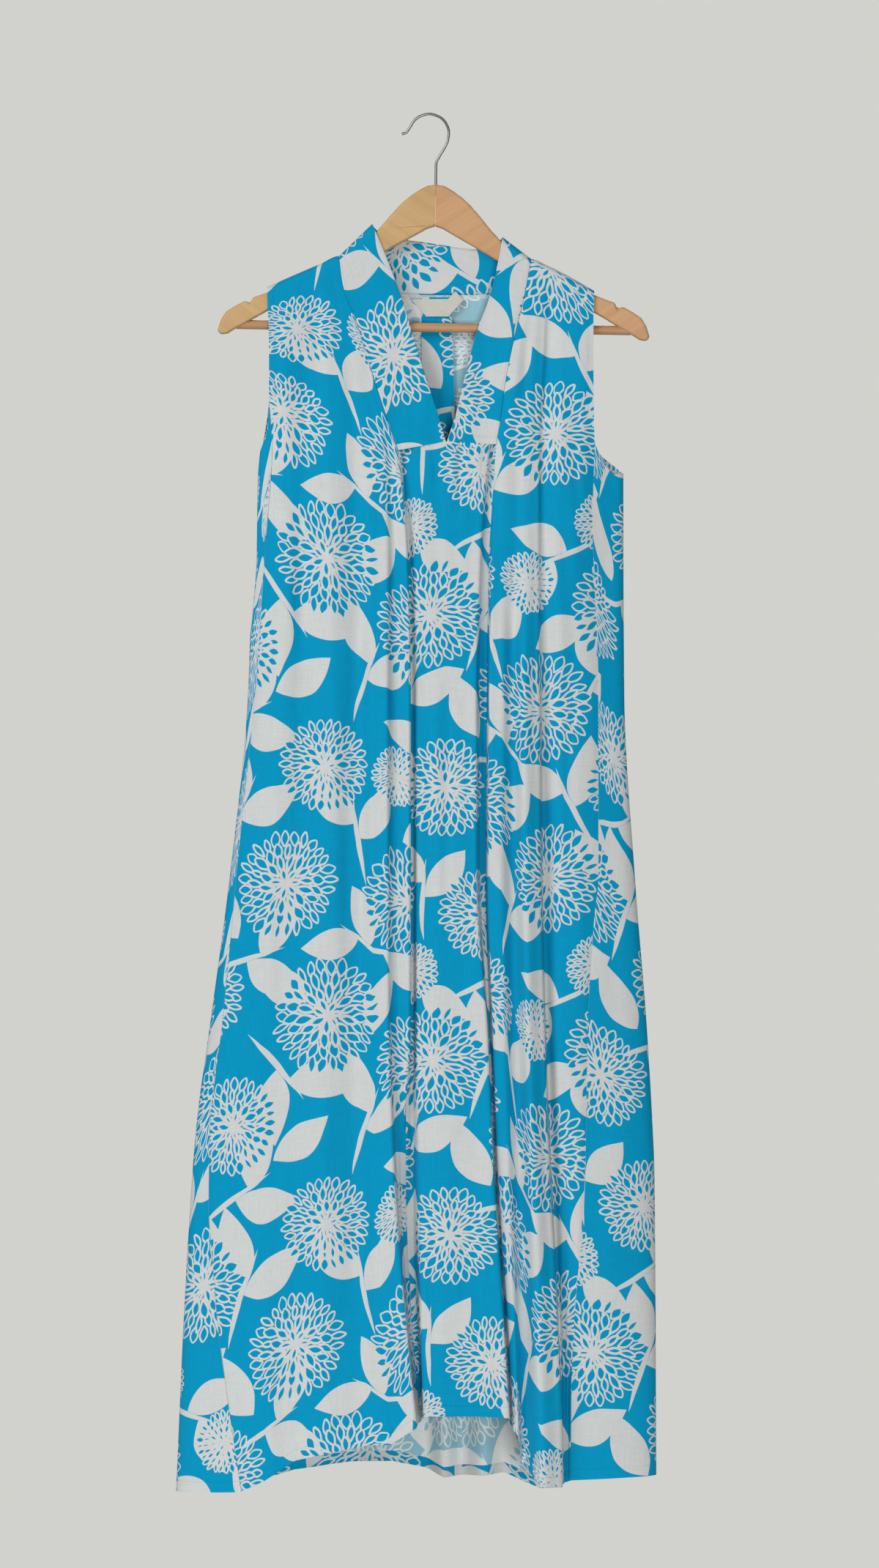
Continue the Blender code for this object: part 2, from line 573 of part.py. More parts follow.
def standing_collar(name, finish):
    """The collar round the back of the neck, from shoulder to shoulder."""
    columns = [curve([(row[0], row[i]) for row in COLLAR]) for i in range(1, 5)]
    grid = []
    for c in range(COLLAR_CELLS + 1):
        up = c / COLLAR_CELLS
        row = []
        for share in COLLAR_COLUMNS:
            seam_x, seam_z, top_x, top_z = (read(share) for read in columns)
            seam = Vector((seam_x, 0, seam_z))
            edge = Vector((top_x, 0, top_z))
            point = (seam + (edge - seam).normalized() * COLLAR_GAP).lerp(edge, up)
            below = COLLAR[0][2] - seam_z if share < 0.5 else COLLAR[-1][2] - seam_z
            below = max(below, min(share, 1 - share) * COLLAR_SHOULDER_SLOPE)
            point.y = max(RIDGE_HALF_GAP, back_depth(point.z) * ridge(below))
            row.append(point)
        grid.append(row)
    sheet(name, grid, BAND, (0, 1, 0), finish)


def facing_strip(name, finish):
    """The strip down the inside of the centre back: the back's own face, moved in past its wall."""
    left = curve(STRIP_LEFT)
    right = curve(STRIP_RIGHT)
    grid = []
    for r in range(STRIP_ROWS + 1):
        z = mix(STRIP_TOP, STRIP_FOOT, r / STRIP_ROWS)
        row = []
        for c in range(STRIP_CELLS + 1):
            x = mix(left(z), right(z), c / STRIP_CELLS)
            row.append(Vector((x, back_y(x, z, 0, SHOULDER_ROUND) - CLOTH - SEAM_GAP, z)))
        grid.append(row)
    sheet(name, grid, STRIP, (0, 1, 0), finish)


def outline_slab(name, outline, thickness, finish):
    """A flat slab of the outline (across, height) in millimetres, its thickness even about Y = 0."""
    flat = bpy.data.curves.new(name, "CURVE")
    flat.dimensions = "2D"
    flat.fill_mode = "BOTH"
    flat.extrude = thickness / 2 * MM
    line = flat.splines.new("POLY")
    line.points.add(len(outline) - 1)
    for point, (x, z) in zip(line.points, outline):
        point.co = (x * MM, z * MM, 0.0, 1.0)
    line.use_cyclic_u = True
    guide = bpy.data.objects.new(name + "_outline", flat)
    parts.objects.link(guide)
    bpy.context.view_layer.update()
    graph = bpy.context.evaluated_depsgraph_get()
    mesh = bpy.data.meshes.new_from_object(guide.evaluated_get(graph))
    body = bmesh.new()
    body.from_mesh(mesh)
    bmesh.ops.remove_doubles(body, verts=body.verts[:], dist=MERGE_DISTANCE * MM)
    body.to_mesh(mesh)
    body.free()
    bpy.data.objects.remove(guide)
    piece = placed(name, mesh, finish)
    piece.rotation_euler.x = math.pi / 2
    return piece


def label(name, finish):
    piece = outline_slab(name, LABEL_OUTLINE, LABEL, finish)
    depth = back_depth(LABEL_OUTLINE[0][1]) - CLOTH - STRIP - 2 * SEAM_GAP - LABEL_GAP - LABEL / 2
    piece.location.y = depth * MM
    return piece


def rod(name, length, radius, vertices=ROD_SIDES):
    bpy.ops.mesh.primitive_cylinder_add(vertices=vertices, radius=radius * MM, depth=length * MM)
    piece = bpy.context.object
    piece.name = name
    for collection in piece.users_collection:
        collection.objects.unlink(piece)
    return piece


def cutter(piece):
    cutters.objects.link(piece)
    piece.hide_render = True
    piece.display_type = "WIRE"
    return piece


def cut(piece, tool, name):
    hole = piece.modifiers.new(name, "BOOLEAN")
    hole.operation = "DIFFERENCE"
    hole.object = tool


def round_edges(arm):
    """Rounds the edges of an arm and leaves the face where it meets the other arm square."""
    body = bmesh.new()
    body.from_mesh(arm.data)
    weight = body.edges.layers.float.new("bevel_weight_edge")
    for edge in body.edges:
        at_joint = all(abs(vert.co.x) < HANGER_EDGE * MM for vert in edge.verts)
        sharp = edge.calc_face_angle() > math.radians(EDGE_ANGLE)
        edge[weight] = float(sharp and not at_joint)
    body.to_mesh(arm.data)
    body.free()
    edges = arm.modifiers.new("Rounded edges", "BEVEL")
    edges.width = HANGER_EDGE * MM
    edges.segments = EDGE_SEGMENTS
    edges.limit_method = "WEIGHT"


def hanger(wood_left, wood_right, wood_bar, chrome):
    """Two wooden arms butted at the middle, the bar between their tips and the wire hook."""
    frame = bpy.data.objects.new("hanger_frame", None)
    frame.location = (SHAFT_X * MM, 0, HANGER_TOP * MM)
    frame.rotation_euler.y = math.radians(HANGER_TILT)
    parts.objects.link(frame)

    socket = cutter(rod("bar_socket", 2 * (BAR_HALF + SEAM_GAP), BAR_RADIUS + SEAM_GAP))
    socket.rotation_euler.y = math.pi / 2
    socket.location.z = -BAR_DROP * MM
    socket.parent = frame
    drill = cutter(rod("hook_drill", 2 * (SHAFT_DEPTH + SEAM_GAP), WIRE_RADIUS + SEAM_GAP, DRILL_SIDES))
    drill.location = (SHAFT_X * MM, 0, HANGER_TOP * MM)

    for name, side, finish in (("hanger_arm_left", -1, wood_left), ("hanger_arm_right", 1, wood_right)):
        outline = [(side * x, z - HANGER_TOP) for x, z in ARM]
        arm = outline_slab(name, outline, HANGER_THICK, finish)
        arm.parent = frame
        round_edges(arm)
        cut(arm, socket, "Bar socket")
        cut(arm, drill, "Hook hole")

    bar = rod("hanger_bar", 2 * BAR_HALF, BAR_RADIUS)
    parts.objects.link(bar)
    bar.rotation_euler.y = math.pi / 2
    bar.location.z = -BAR_DROP * MM
    bar.parent = frame
    bar.data.materials.append(wood_bar)

    wire = bpy.data.curves.new("hook", "CURVE")
    wire.dimensions = "3D"
    wire.bevel_depth = WIRE_RADIUS * MM
    wire.bevel_resolution = WIRE_RESOLUTION
    wire.use_fill_caps = True
    along = [0.0]
    for (x0, z0), (x1, z1) in zip(HOOK, HOOK[1:]):
        along.append(along[-1] + math.hypot(x1 - x0, z1 - z0))
    across = curve(list(zip(along, [x for x, _ in HOOK])))
    height = curve(list(zip(along, [z for _, z in HOOK])))
    line = wire.splines.new("POLY")
    line.points.add(HOOK_STEPS)
    for i, point in enumerate(line.points):
        at = along[-1] * i / HOOK_STEPS
        point.co = ((SHAFT_X + across(at)) * MM, 0, height(at) * MM, 1.0)
    hook = bpy.data.objects.new("hook", wire)
    hook.data.materials.append(chrome)
    parts.objects.link(hook)


def dress(cloth, stitched, ribbon):
    front_panel("front_left", "left_side", FRONT_LEFT, "left_princess", shoulder_height, cloth)
    front_panel("front_centre", "left_princess", FRONT_CENTRE, "right_princess", band_foot_height, cloth)
    front_panel("front_right", "right_princess", FRONT_RIGHT, "right_side", shoulder_height, cloth)
    side_panel("side_left", "left_side", left_outline, "left_back", LEFT_ARMHOLE_FOOT, cloth)
    side_panel("side_right", "right_side", right_outline, "right_back", RIGHT_ARMHOLE_FOOT, cloth)
    back_panel("back_left", "left_back", BACK_LEFT, "centre_back", cloth)
    back_panel("back_right", "centre_back", BACK_RIGHT, "right_back", cloth)
    neckband("neckband_left", "left_princess", LEFT_BAND_EDGE, stitched)
    neckband("neckband_right", "right_princess", RIGHT_BAND_EDGE, stitched)
    standing_collar("collar_back", stitched)
    facing_strip("back_facing", cloth)
    label("label", ribbon)


for old in list(bpy.data.objects):
    bpy.data.objects.remove(old, do_unlink=True)
parts = bpy.data.collections.new("dress_on_hanger")
cutters = bpy.data.collections.new("cutters")
bpy.context.scene.collection.children.link(parts)
bpy.context.scene.collection.children.link(cutters)

dress(
    material("printed cloth", (0.002, 0.33, 0.60), 0.85),
    material("neckband cloth", (0.002, 0.30, 0.56), 0.85),
    material("label ribbon", (0.72, 0.68, 0.60), 0.7),
)
hanger(
    material("left arm wood", (0.66, 0.42, 0.19), 0.45),
    material("right arm wood", (0.68, 0.38, 0.17), 0.45),
    material("bar wood", (0.57, 0.32, 0.15), 0.5),
    material("chrome wire", (0.75, 0.75, 0.76), 0.15, 1.0),
)
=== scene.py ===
"""Looks of the sleeveless dress on its wooden hanger.

Each piece of cloth is a thin shell, lofted between the same seams and folds as its solid in the frame, with finer
rows, the small creases of hanging cloth, its print, weave and stitches. Tables are in millimetres in the frame's
axes: the origin is under the hook's crown, +Z is up and the front faces -Y. Shader sizes are in metres of flat cloth.
"""

import math
from collections import namedtuple

import bmesh
import bpy
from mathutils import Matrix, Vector, noise


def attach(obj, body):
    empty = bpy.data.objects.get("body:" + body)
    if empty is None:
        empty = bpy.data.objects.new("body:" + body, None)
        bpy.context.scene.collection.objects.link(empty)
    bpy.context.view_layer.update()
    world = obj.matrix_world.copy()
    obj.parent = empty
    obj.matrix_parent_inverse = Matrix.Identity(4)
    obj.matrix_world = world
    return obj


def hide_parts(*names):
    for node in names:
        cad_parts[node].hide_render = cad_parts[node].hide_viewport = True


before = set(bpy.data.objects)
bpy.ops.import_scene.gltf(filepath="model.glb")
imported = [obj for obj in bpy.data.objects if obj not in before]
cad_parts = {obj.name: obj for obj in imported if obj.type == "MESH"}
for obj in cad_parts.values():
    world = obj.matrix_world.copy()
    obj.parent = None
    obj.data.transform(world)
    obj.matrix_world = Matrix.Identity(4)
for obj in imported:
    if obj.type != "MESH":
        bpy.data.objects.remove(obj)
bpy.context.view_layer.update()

MM = 0.001

# Walls of the pieces
CLOTH = 0.7
BAND = 1.7
STRIP = 0.6
RIBBON = 0.5
SEAM_GAP = 0.1
COLLAR_GAP = 0.1
FOLD_SPACING = 1.3
FOLD_START = 12.0
SHOULDER_ROUND = 7.0
RIDGE_HALF_GAP = 0.4
EDGE_ROUNDNESS = 2.2
ARMHOLE_CLOSES_OVER = 110.0
COLLAR_SHOULDER_SLOPE = 200.0
SOLID_CLOTH = 1.6
SOLID_SEAM_GAP = 0.3

# How finely the sheets are made
CELL_WIDTH = 3.6
FEWEST_CELLS = 3
RIDGE_ROWS = (0.0, 0.3, 1.0, 2.0, 3.5, 5.5, 8.0)
YOKE_ROWS = 22
SKIRT_ROWS = 132
BAND_CELLS = 12
SIDE_CELLS = 14

# Rows and edges that only the fine sheets have
HEM_ROWS = (14.0, 12.2, 11.0, 9.8, 6.0, 1.0, 0.0)
HEM_RISE = (0.1, -0.2, 0.3, 0.3, 0.2, -0.1)
HEM_STITCH = 11.0
ARMHOLE_STITCH = 6.0
BAND_STITCH = 2.6
BAND_FOOT_STITCH = 7.5
BAND_ROWS = 52
BAND_EDGE_ROUND = 0.8
BAND_EDGE_SHARES = (0.0, 0.008, 0.02, 0.036, 0.06)
COLLAR_FINE = 90
COLLAR_CROWDING = 0.75
NO_EDGE = 1000.0
SEAM_DIP = 0.9
SEAM_DIP_REACH = 1.8
SOLID_STRIP = 1.2
STRIP_FINE = 48
STRIP_SHARES = (0, 0.1, 0.2, 0.3, 0.4, 0.46, 0.485, 0.5, 0.515, 0.54, 0.6, 0.7, 0.8, 0.9, 1.0)
STRIP_SEAM_SHARE = 0.02
STRIP_SEAM_DEPTH = 0.5
LABEL_ROWS = 8
LABEL_CELLS = 20
LABEL_BOW = 0.6
LABEL_DEPTH = 5.8
LABEL_LIFT = 0.8
LABEL_FOLD = ((15.5, -193), (20, -206.5), (35, -190), (27, -181))

# The unevenness of hanging cloth: long soft waves down it, shorter ones, and a slight buckling across. They grow from
# nothing over WAVES_GROW below the shoulder.
Wave = namedtuple("Wave", "across along seed height")
WAVES = (Wave(34, 300, 0, 3.0), Wave(13, 110, 7, 1.3), Wave(60, 34, 13, 0.8))
WAVES_GROW = 90.0
STRIP_WAVE = Wave(30, 60, 9, 0.3)

# Small creases pressed into the front: across and height of both ends, depth and half width. Each starts quickly at
# its top and fades slowly towards its foot.
Crease = namedtuple("Crease", "top_across top foot_across foot depth half_width")
CREASES = (
    (-7, -338, -6, -388, 1.6, 2.2), (1, -338, 3, -372, 1.4, 1.8), (6, -338, 8, -400, 1.6, 2.0),
    (14, -338, 14, -380, 1.5, 2.0), (20, -338, 19, -396, 1.8, 2.2), (33, -338, 30, -420, 3.0, 2.8),
    (44, -338, 41, -385, 1.5, 2.2), (58, -339, 52, -410, 2.0, 2.6), (151, -372, 156, -450, 1.5, 4.0),
    (-150, -350, -140, -440, 1.2, 5.0), (-120, -190, -108, -330, 1.2, 5.0), (128, -190, 118, -330, 1.4, 5.0),
)
CREASE_START = 0.5
CREASE_FADE_IN = 12.0
CREASE_FADE_OUT = 1.6

# The hook's wire
SHAFT_X = 6.8
WIRE_RADIUS = 1.4
WIRE_RESOLUTION = 8
HOOK_STEPS = 140
HOOK = (
    (0, -83), (0, -66), (0.2, -50), (3.2, -43), (8.6, -34), (12.4, -25.5), (13.3, -17), (10.6, -8.5),
    (3.6, -1.6), (-6.8, 1.4), (-16.5, -1.0), (-22.6, -5.8), (-27.2, -13), (-31.0, -18.0), (-35.2, -19.2),
)

# The studio, in metres. The picture's plane lies just in front of the hanger.
PICTURE_HEIGHT = 1.612
PICTURE_CENTRE = (0.0105, -0.6893)
FRONT_PLANE = -0.018
LENS = 150.0
SENSOR = 36.0
FLOOR_SIZE = 1.9
FLOOR_HEIGHT = -1.62
FLOOR_COLOUR = (0.78, 0.78, 0.76)
WALL_LIGHT = (0.64, 0.645, 0.61)
SOFT_LIGHT = 0.32
AIM = (0.0, 0.0, -0.7)
LIGHTS = (
    ("key", (-2.9, -2.9, 1.6), 2.4, 135.0),
    ("fill", (0.9, -5.2, -1.4), 2.0, 140.0),
    ("behind", (0.6, 3.0, 0.8), 3.0, 90.0),
)

# The print, drawn on flat cloth: its repeat, and the drawn line round each petal
REPEAT_WIDTH = 0.340
REPEAT_HEIGHT = 0.460
PETAL_LINE = 0.0018
MIDDLE_BOLDNESS = 1.1
HEART_RADIUS = 0.0026
DRAWN_WOBBLE = 0.0038
WOBBLE_SCALE = 28.0
PETAL_RINGS = 4
PETALS_FIRST = 7.0
PETALS_MORE = 7.0
PETAL_TURN = 0.5
PETAL_OVERLAP = 0.30
PETAL_LENGTH = 1.40
PETAL_HALF_WIDTH = 0.36
PETAL_UNEVEN_WIDTH = 0.22
PETAL_LEAN = 0.8
PETAL_UNEVEN_REACH = 0.42
PETAL_TYPICAL_LENGTH = 0.017
RING_CROWDING = 1.15

# Its colours on the right side of the cloth and on the reverse, where it shows through. The reverse is paler, as the
# cloth's reverse is, and is made lighter still as painted light for the inside of the dress, which the lamps leave in
# shade.
GROUND = (0.0, 0.262, 0.472)
WHITE = (0.545, 0.565, 0.56)
GROUND_BEHIND_WITH_PAINTED_LIGHT = (0.27, 0.48, 0.57)
WHITE_BEHIND_WITH_PAINTED_LIGHT = (0.68, 0.70, 0.69)

# The weave and the sewing
THREAD_PITCH = 0.0006
THREAD_HEIGHT = 0.00003
SLUB_FINE = 900.0
SLUB_LONG = 45.0
SLUB_HEIGHT = 0.00025
SLUB_CONTRAST = 0.22
STITCH_LENGTH = 0.0029
STITCH_SHARE = 0.72
STITCH_WIDTH = 0.0008
STITCH_DEPTH = 0.0002
STITCH_SHADE = 0.08
RIBBON_RIB = 0.0011
OVERLOCK_WIDTH = 0.0035
OVERLOCK_PITCH = 0.0026
OVERLOCK_SHARE = 0.55
OVERLOCK_THREAD = (0.55, 0.60, 0.61)

# The wood: how its two kinds of noise are stretched, along the grain and across it twice, and how strongly they show
GRAIN_STRETCH = (7.0, 90.0, 150.0)
FLECK_STRETCH = (120.0, 900.0, 1500.0)
FLECK_SHARE = 0.2
GRAIN_CONTRAST = 2.0

Bloom = namedtuple("Bloom", "across along radius turn")
BLOOMS = (
    (60, 70, 55, 12), (190, 35, 46, 48), (290, 130, 56, 85), (150, 165, 49, 20), (45, 245, 57, 64),
    (245, 265, 52, 130), (135, 345, 55, 8), (285, 380, 46, 33), (30, 375, 31, 71), (112, 438, 30, 5),
)

# A leaf's base is how much fuller it is at its foot, and bend how far its middle is bowed.
Leaf = namedtuple("Leaf", "across along turn half_length half_width base bend")
LEAVES = (
    (176, 250, 118, 37, 19, 0.25, 5), (70, 320, 20, 35, 18, 0.30, 4), (240, 160, 150, 31, 16, 0.25, -5),
    (150, 405, -30, 31, 16, 0.30, -4), (12, 140, 60, 34, 18, 0.25, 4), (262, 12, 30, 34, 17, 0.30, -5),
)

# A sprig is a stem with a leaf on each side, the one a little further along than the other.
Sprig = namedtuple("Sprig", "across along turn size")
SPRIGS = (
    (128, 62, 88, 0.86), (243, 76, -52, 1.0), (84, 152, 118, 1.0), (212, 196, 12, 0.9), (108, 268, 62, 0.95),
    (196, 340, 66, 1.0), (322, 316, 100, 0.92), (198, 428, 28, 0.95), (66, 404, -160, 0.9),
    (330, 205, 150, 0.85), (335, 20, 70, 0.95),
)
SPRIG_SPREAD = 40.0
SPRIG_STAGGER = 9.0
STEM_MIDDLE = -12.0
STEM = Leaf(0, 0, 0, 49, 2.9, 0.2, 3)
SPRIG_LEAF = Leaf(0, 0, 0, 37, 18, 0.25, 4)

# Heights at which each fold is measured: chest, foot of the neckband, bust, waist, hip, thigh, knee, calf, hem.
HEIGHTS = (-245, -337, -456, -599, -787, -937, -1088, -1239, -1382)

# How far the front and the back stand from the middle of the hanger, as (height, distance).
FRONT_DEPTH = (
    (-112, 9), (-180, 9), (-245, 12), (-337, 17), (-456, 22), (-599, 26), (-937, 34), (-1239, 40), (-1420, 43)
)
BACK_DEPTH = (
    (-112, 9), (-180, 10), (-245, 11), (-337, 13), (-456, 14), (-599, 16), (-937, 21), (-1239, 27), (-1420, 30)
)

# The ridge where front and back meet on the shoulders, the neckband's foot on the front, and the seam of the
# standing collar on the back, each as (across, height).
SHOULDER = (
    (-167, -177), (-140, -165), (-112, -153), (-93, -145), (105, -148), (120, -154), (142, -165), (170, -181),
)
BAND_FOOT = ((-32, -346.0), (17.2, -337.0), (69, -340.0))
COLLAR_SEAM = (
    (-93, -145), (-84, -163), (-65, -178.5), (-29, -184.5), (16, -185), (61, -184.5), (86, -175), (99, -160),
    (105, -148),
)

# Seams and free edges, shared by the pieces on both sides of them, as (height, across, stands out).
SEAMS = {
    "left_side": (
        (-177, -167, 0), (-245, -165, 0), (-290, -165, 0), (-343, -162, 0), (-420, -167, 0), (-478, -171, 0),
        (-591, -179, 0), (-735, -194, 0), (-934, -213, 0), (-1050, -226, 0), (-1126, -227, 0), (-1178, -223, 0),
        (-1239, -218, 0), (-1314, -208, 0), (-1416, -193, 0),
    ),
    "left_princess": (
        (-145, -93, 0), (-175, -89, 0), (-207, -77, 0), (-246, -65, 0), (-296, -49, 0), (-326, -39, 0),
        (-346, -32, 0), (-373, -27, -2), (-456, -25, -4), (-599, -23, -5), (-937, -23, -7), (-1050, -24, -9),
        (-1100, -24, -15), (-1239, -18, -20), (-1343, -9, -22),
    ),
    "right_princess": (
        (-148, 105, 0), (-191, 97, 0), (-215, 91, 0), (-272, 79, 0), (-316, 73, 0), (-340, 69, 0), (-411, 64, -3),
        (-456, 61.5, -6), (-630, 59, -10), (-787, 58, -12), (-937, 62.5, -12), (-1088, 68, -12), (-1239, 78, -12),
        (-1347, 84, -12),
    ),
    "right_side": (
        (-181, 170, 0), (-213, 169, 0), (-276, 169, 0), (-335, 170, 0), (-425, 168, 0), (-478, 170, 0),
        (-591, 174, 0), (-787, 174, 0), (-822, 170, 0), (-934, 163, 0), (-1088, 160, 0), (-1175, 154, -1),
        (-1239, 149, -2), (-1302, 146, -3), (-1404, 145, -4),
    ),
    "left_back": (
        (-177, -167, 0), (-245, -164, 0), (-300, -166, 0), (-335, -171, 0), (-347, -173, 0), (-400, -169, 0),
        (-456, -168, 0), (-599, -177, 0), (-787, -196, 0), (-937, -215, 0), (-1088, -233, 0), (-1239, -242, 0),
        (-1419, -249, 0),
    ),
    "right_back": (
        (-181, 170, 0), (-245, 168, 0), (-320, 169, 0), (-345, 173, 0), (-356, 183, 0), (-364, 194, 0),
        (-369, 199, 0), (-410, 192, 0), (-456, 190, 0), (-599, 192, 0), (-787, 203, 0), (-937, 214, 0),
        (-1088, 222, 0), (-1401, 224, 0),
    ),
    "centre_back": ((-185, 23, 0), (-337, 24, 0), (-599, 27, 1), (-937, 30, 3), (-1239, 33, 5), (-1405, 34, 6)),
}

# Where the yoke part of each seam ends: the armhole's start on a side seam, the band's foot on a princess seam.
# Other edges have no armhole: theirs is put above every row.
JOINS = {
    "left_side": -290, "left_princess": -346, "right_princess": -340, "right_side": -335,
    "left_back": -347, "right_back": -369, "centre_back": -355,
}
ARMHOLE_SEAMS = ("left_side", "right_side", "left_back", "right_back")
NO_ARMHOLE = 0.0

# The silhouette of the two sides, as (height, across).
LEFT_OUTLINE = (
    (-177, -167), (-245, -165), (-320, -170), (-347, -174.5), (-380, -177), (-456, -178), (-545, -185),
    (-599, -187), (-787, -206), (-937, -226), (-1040, -240), (-1088, -244), (-1239, -253), (-1418, -261),
)
RIGHT_OUTLINE = (
    (-181, 170), (-245, 169), (-320, 190), (-369, 200), (-410, 200), (-599, 201), (-787, 212), (-937, 224),
    (-1040, 230), (-1088, 232), (-1401, 234),
)

# The foot of each armhole on the side panel, from the seam to the outline, as (share of the width, height).
LEFT_ARMHOLE_FOOT = ((0, -290), (0.5, -320), (1, -347))
RIGHT_ARMHOLE_FOOT = ((0, -335), (0.23, -352), (0.53, -366), (0.75, -370.5), (1, -369))

# Folds of the cloth, from the left of each panel to its right. Columns: across at the top edge, height of the hem,
# across at each of HEIGHTS, how far it stands out at each.
Fold = namedtuple("Fold", "top hem across out")
FRONT_LEFT = (
    (-149, -1404, (-146, -145, -146, -151, -164, -172, -178, -176, -169), (1, 1, 2, 2, 2, 2, 2, 2, 2)),
    (-120, -1383, (-120, -127, -130, -127, -131, -133, -134, -136, -137), (-3, -4, -3, -2, -1, -1, -1, -1, -1)),
    (-107, -1375, (-105, -102, -102, -101, -101, -102, -104, -105, -102), (2, 3, 3, 3, 3, 3, 3, 3, 3)),
    (-101, -1367, (-86, -77, -75, -71, -72, -74, -72, -69, -62), (-0.5, -2, -4, -5, -5, -4, -4, -3, -2)),
    (-98, -1366, (-78, -61, -59, -57, -57, -58, -56, -48, -39), (0, 0, 1, 2, 2, 3, 3, 4, 4)),
    (-96, -1348, (-72, -48, -43, -43, -43, -42, -36, -24, -13), (0, 0, 2, 4, 5, 6, 8, 10, 12)),
    (-95.2, -1345, (-70, -43, -38, -38, -38, -38, -33, -22.5, -11.5), (0, -1, -3, -4, -4, -5, -7, -8, -5)),
    (-94, -1344, (-67, -36, -22, -19, -19, -19, -28, -21, -10), (0, 0.5, 3, 4, 4, 4, -12, -16, -15)),
)
FRONT_CENTRE = (
    (-26, -1341, (-26, -26, -20, -18, -17, -17, -17, -13, -7.5), (0, -1, -7, -8, -9, -11, -18, -21, -21)),
    (-15, -1338, (-15, -15, -14, -12, -12, -12, -10, -8, -6), (0, 0, -1, -1, 0, 0, 1, 2, 2)),
    (-7, -1337, (-7, -7, -5, -2, -2, -2, 0, 2, 3), (-1.2, -1.2, -0.5, 0, 1, 1, 2, 3, 3)),
    (4, -1337, (4, 4, 5, 8, 8, 8, 10, 11, 14), (-1.2, -1.2, 0, 1, 2, 2, 3, 3, 3)),
    (17, -1337, (17, 17, 16, 17, 17, 18, 20, 23, 26), (-1.5, -1.5, 0, 1, 1, 2, 3, 3, 3)),
    (33, -1337, (33, 33, 29, 27, 27, 32, 35, 41, 45), (-1.2, -1.2, 0, 1, 2, 2, 3, 3, 3)),
    (47, -1338, (47, 47, 41, 38, 38, 46, 51, 59, 65), (-1, -1, 0.5, 1, 2, 3, 3, 4, 4)),
    (60, -1339, (60, 60, 52, 48, 48, 59, 66, 76, 82), (0, 0, 1, 2, 3, 4, 4, 5, 5)),
    (65, -1342, (65, 65, 56, 52, 53, 60.5, 66.8, 76.8, 82.8), (0, 0, -6, -12, -14, -11, -9, -9, -9)),
)
FRONT_RIGHT = (
    (107, -1353, (87, 72, 65, 62, 61, 65.5, 71, 81, 87), (0, 0, 1, 2, 2, 0, -2, -2, -2)),
    (109, -1357, (93, 80, 75, 75, 74, 77, 81, 87, 91), (1, 1, 2, 4, 4, 3, 1, 1, 1)),
    (113, -1385, (100, 90, 87, 84, 85, 87, 91, 94, 95), (0, 0, -1, -5, -6, -7, -8, -9, -9)),
    (117, -1409, (108, 101, 99, 98, 99, 102, 107, 112, 115), (1, 2, 4, 8, 10, 12, 14, 16, 17)),
    (120, -1410, (117, 112, 112, 113, 114, 118, 123, 131, 136), (0, 1, 2, 3, 5, 6, 7, 8, 9)),
    (123, -1409, (121, 116, 115, 116, 117, 120, 126, 133, 137.5), (-2, -3, -3, -6, -8, -10, -12, -14, -14)),
    (137, -1407, (137, 135, 133, 134, 135, 133, 136, 138, 138.5), (1, 2, 3, 2, 1, 0, -4, -9, -12)),
    (155, -1406, (154, 154, 152, 155, 157, 149, 148, 143.5, 141.5), (1, 1, 2, 2, 2, 1, 0, -5, -9)),
)
BACK_LEFT = (
    (-140, -1415, (-140, -142, -143, -149, -161, -172, -181, -187, -193), (1, 2, 3, 4, 5, 6, 7, 8, 9)),
    (-117, -1398, (-116, -117, -119, -122, -129, -134, -139, -140, -140), (0, -1, -2, -3, -4, -5, -5, -6, -6)),
    (-93, -1392, (-87, -84, -83, -81, -83, -84, -86, -87, -87), (1, 1, 2, 3, 4, 5, 5, 6, 6)),
    (-92, -1391.8, (-86, -83, -82, -80, -82, -83, -85, -86, -86), (1, 1, 2, 3, 4, 5, 5, 6, 6)),
    (-90, -1391.5, (-84, -81, -80, -78, -80, -81, -83, -84, -84), (1, 1, 2, 3, 4, 5, 5, 6, 6)),
    (-71, -1389, (-65, -59, -53, -51, -50, -48, -45, -42, -38), (0, 0, -1, -3, -5, -6, -7, -8, -8)),
    (-29, -1398, (-27, -23, -20, -16, -14, -11, -8, -5, -2), (0, 0, 0, 2, 3, 4, 5, 6, 6)),
    (-1, -1406, (1, 3, 5, 8, 9, 11, 12, 14, 15), (0, 0, 0, -3, -5, -7, -9, -11, -12)),
)
BACK_RIGHT = (
    (41, -1404, (42, 44, 47, 48, 50, 51, 53, 54, 56), (0, 0, 0, -3, -5, -7, -9, -11, -12)),
    (61, -1402, (62, 63, 66, 68, 70, 72, 75, 76, 77), (0, 0, 1, 3, 4, 5, 5, 6, 6)),
    (86, -1417, (87, 90, 93, 97, 101, 105, 108, 111, 114), (0, 0, -1, -2, -4, -5, -6, -7, -8)),
    (102.5, -1412.5, (104.5, 110, 115, 120, 125, 129, 134, 137, 140), (1, 1, 2, 3, 4, 5, 6, 7, 8)),
    (104.2, -1412, (106, 111, 116, 121, 126, 130, 135, 138, 141), (1, 1, 2, 3, 4, 5, 6, 7, 8)),
    (105, -1412, (107, 112, 117, 122, 127, 131, 136, 139, 142), (1, 1, 2, 3, 4, 5, 6, 7, 8)),
    (139, -1404, (135, 140, 148, 152, 158, 164, 170, 175, 180), (0, -1, -1, -2, -3, -3, -4, -4, -4)),
)

# The free inner edge of each neckband half, from the shoulder to the point of the neck, as (height, across).
LEFT_BAND_EDGE = ((-112, -59), (-142, -46), (-195, -26.5), (-255, -8.5), (-312, 10), (-337, 17.2))
RIGHT_BAND_EDGE = ((-125.5, 75.5), (-160, 69), (-191, 61), (-223, 49), (-260, 39), (-309.5, 27), (-337, 18))

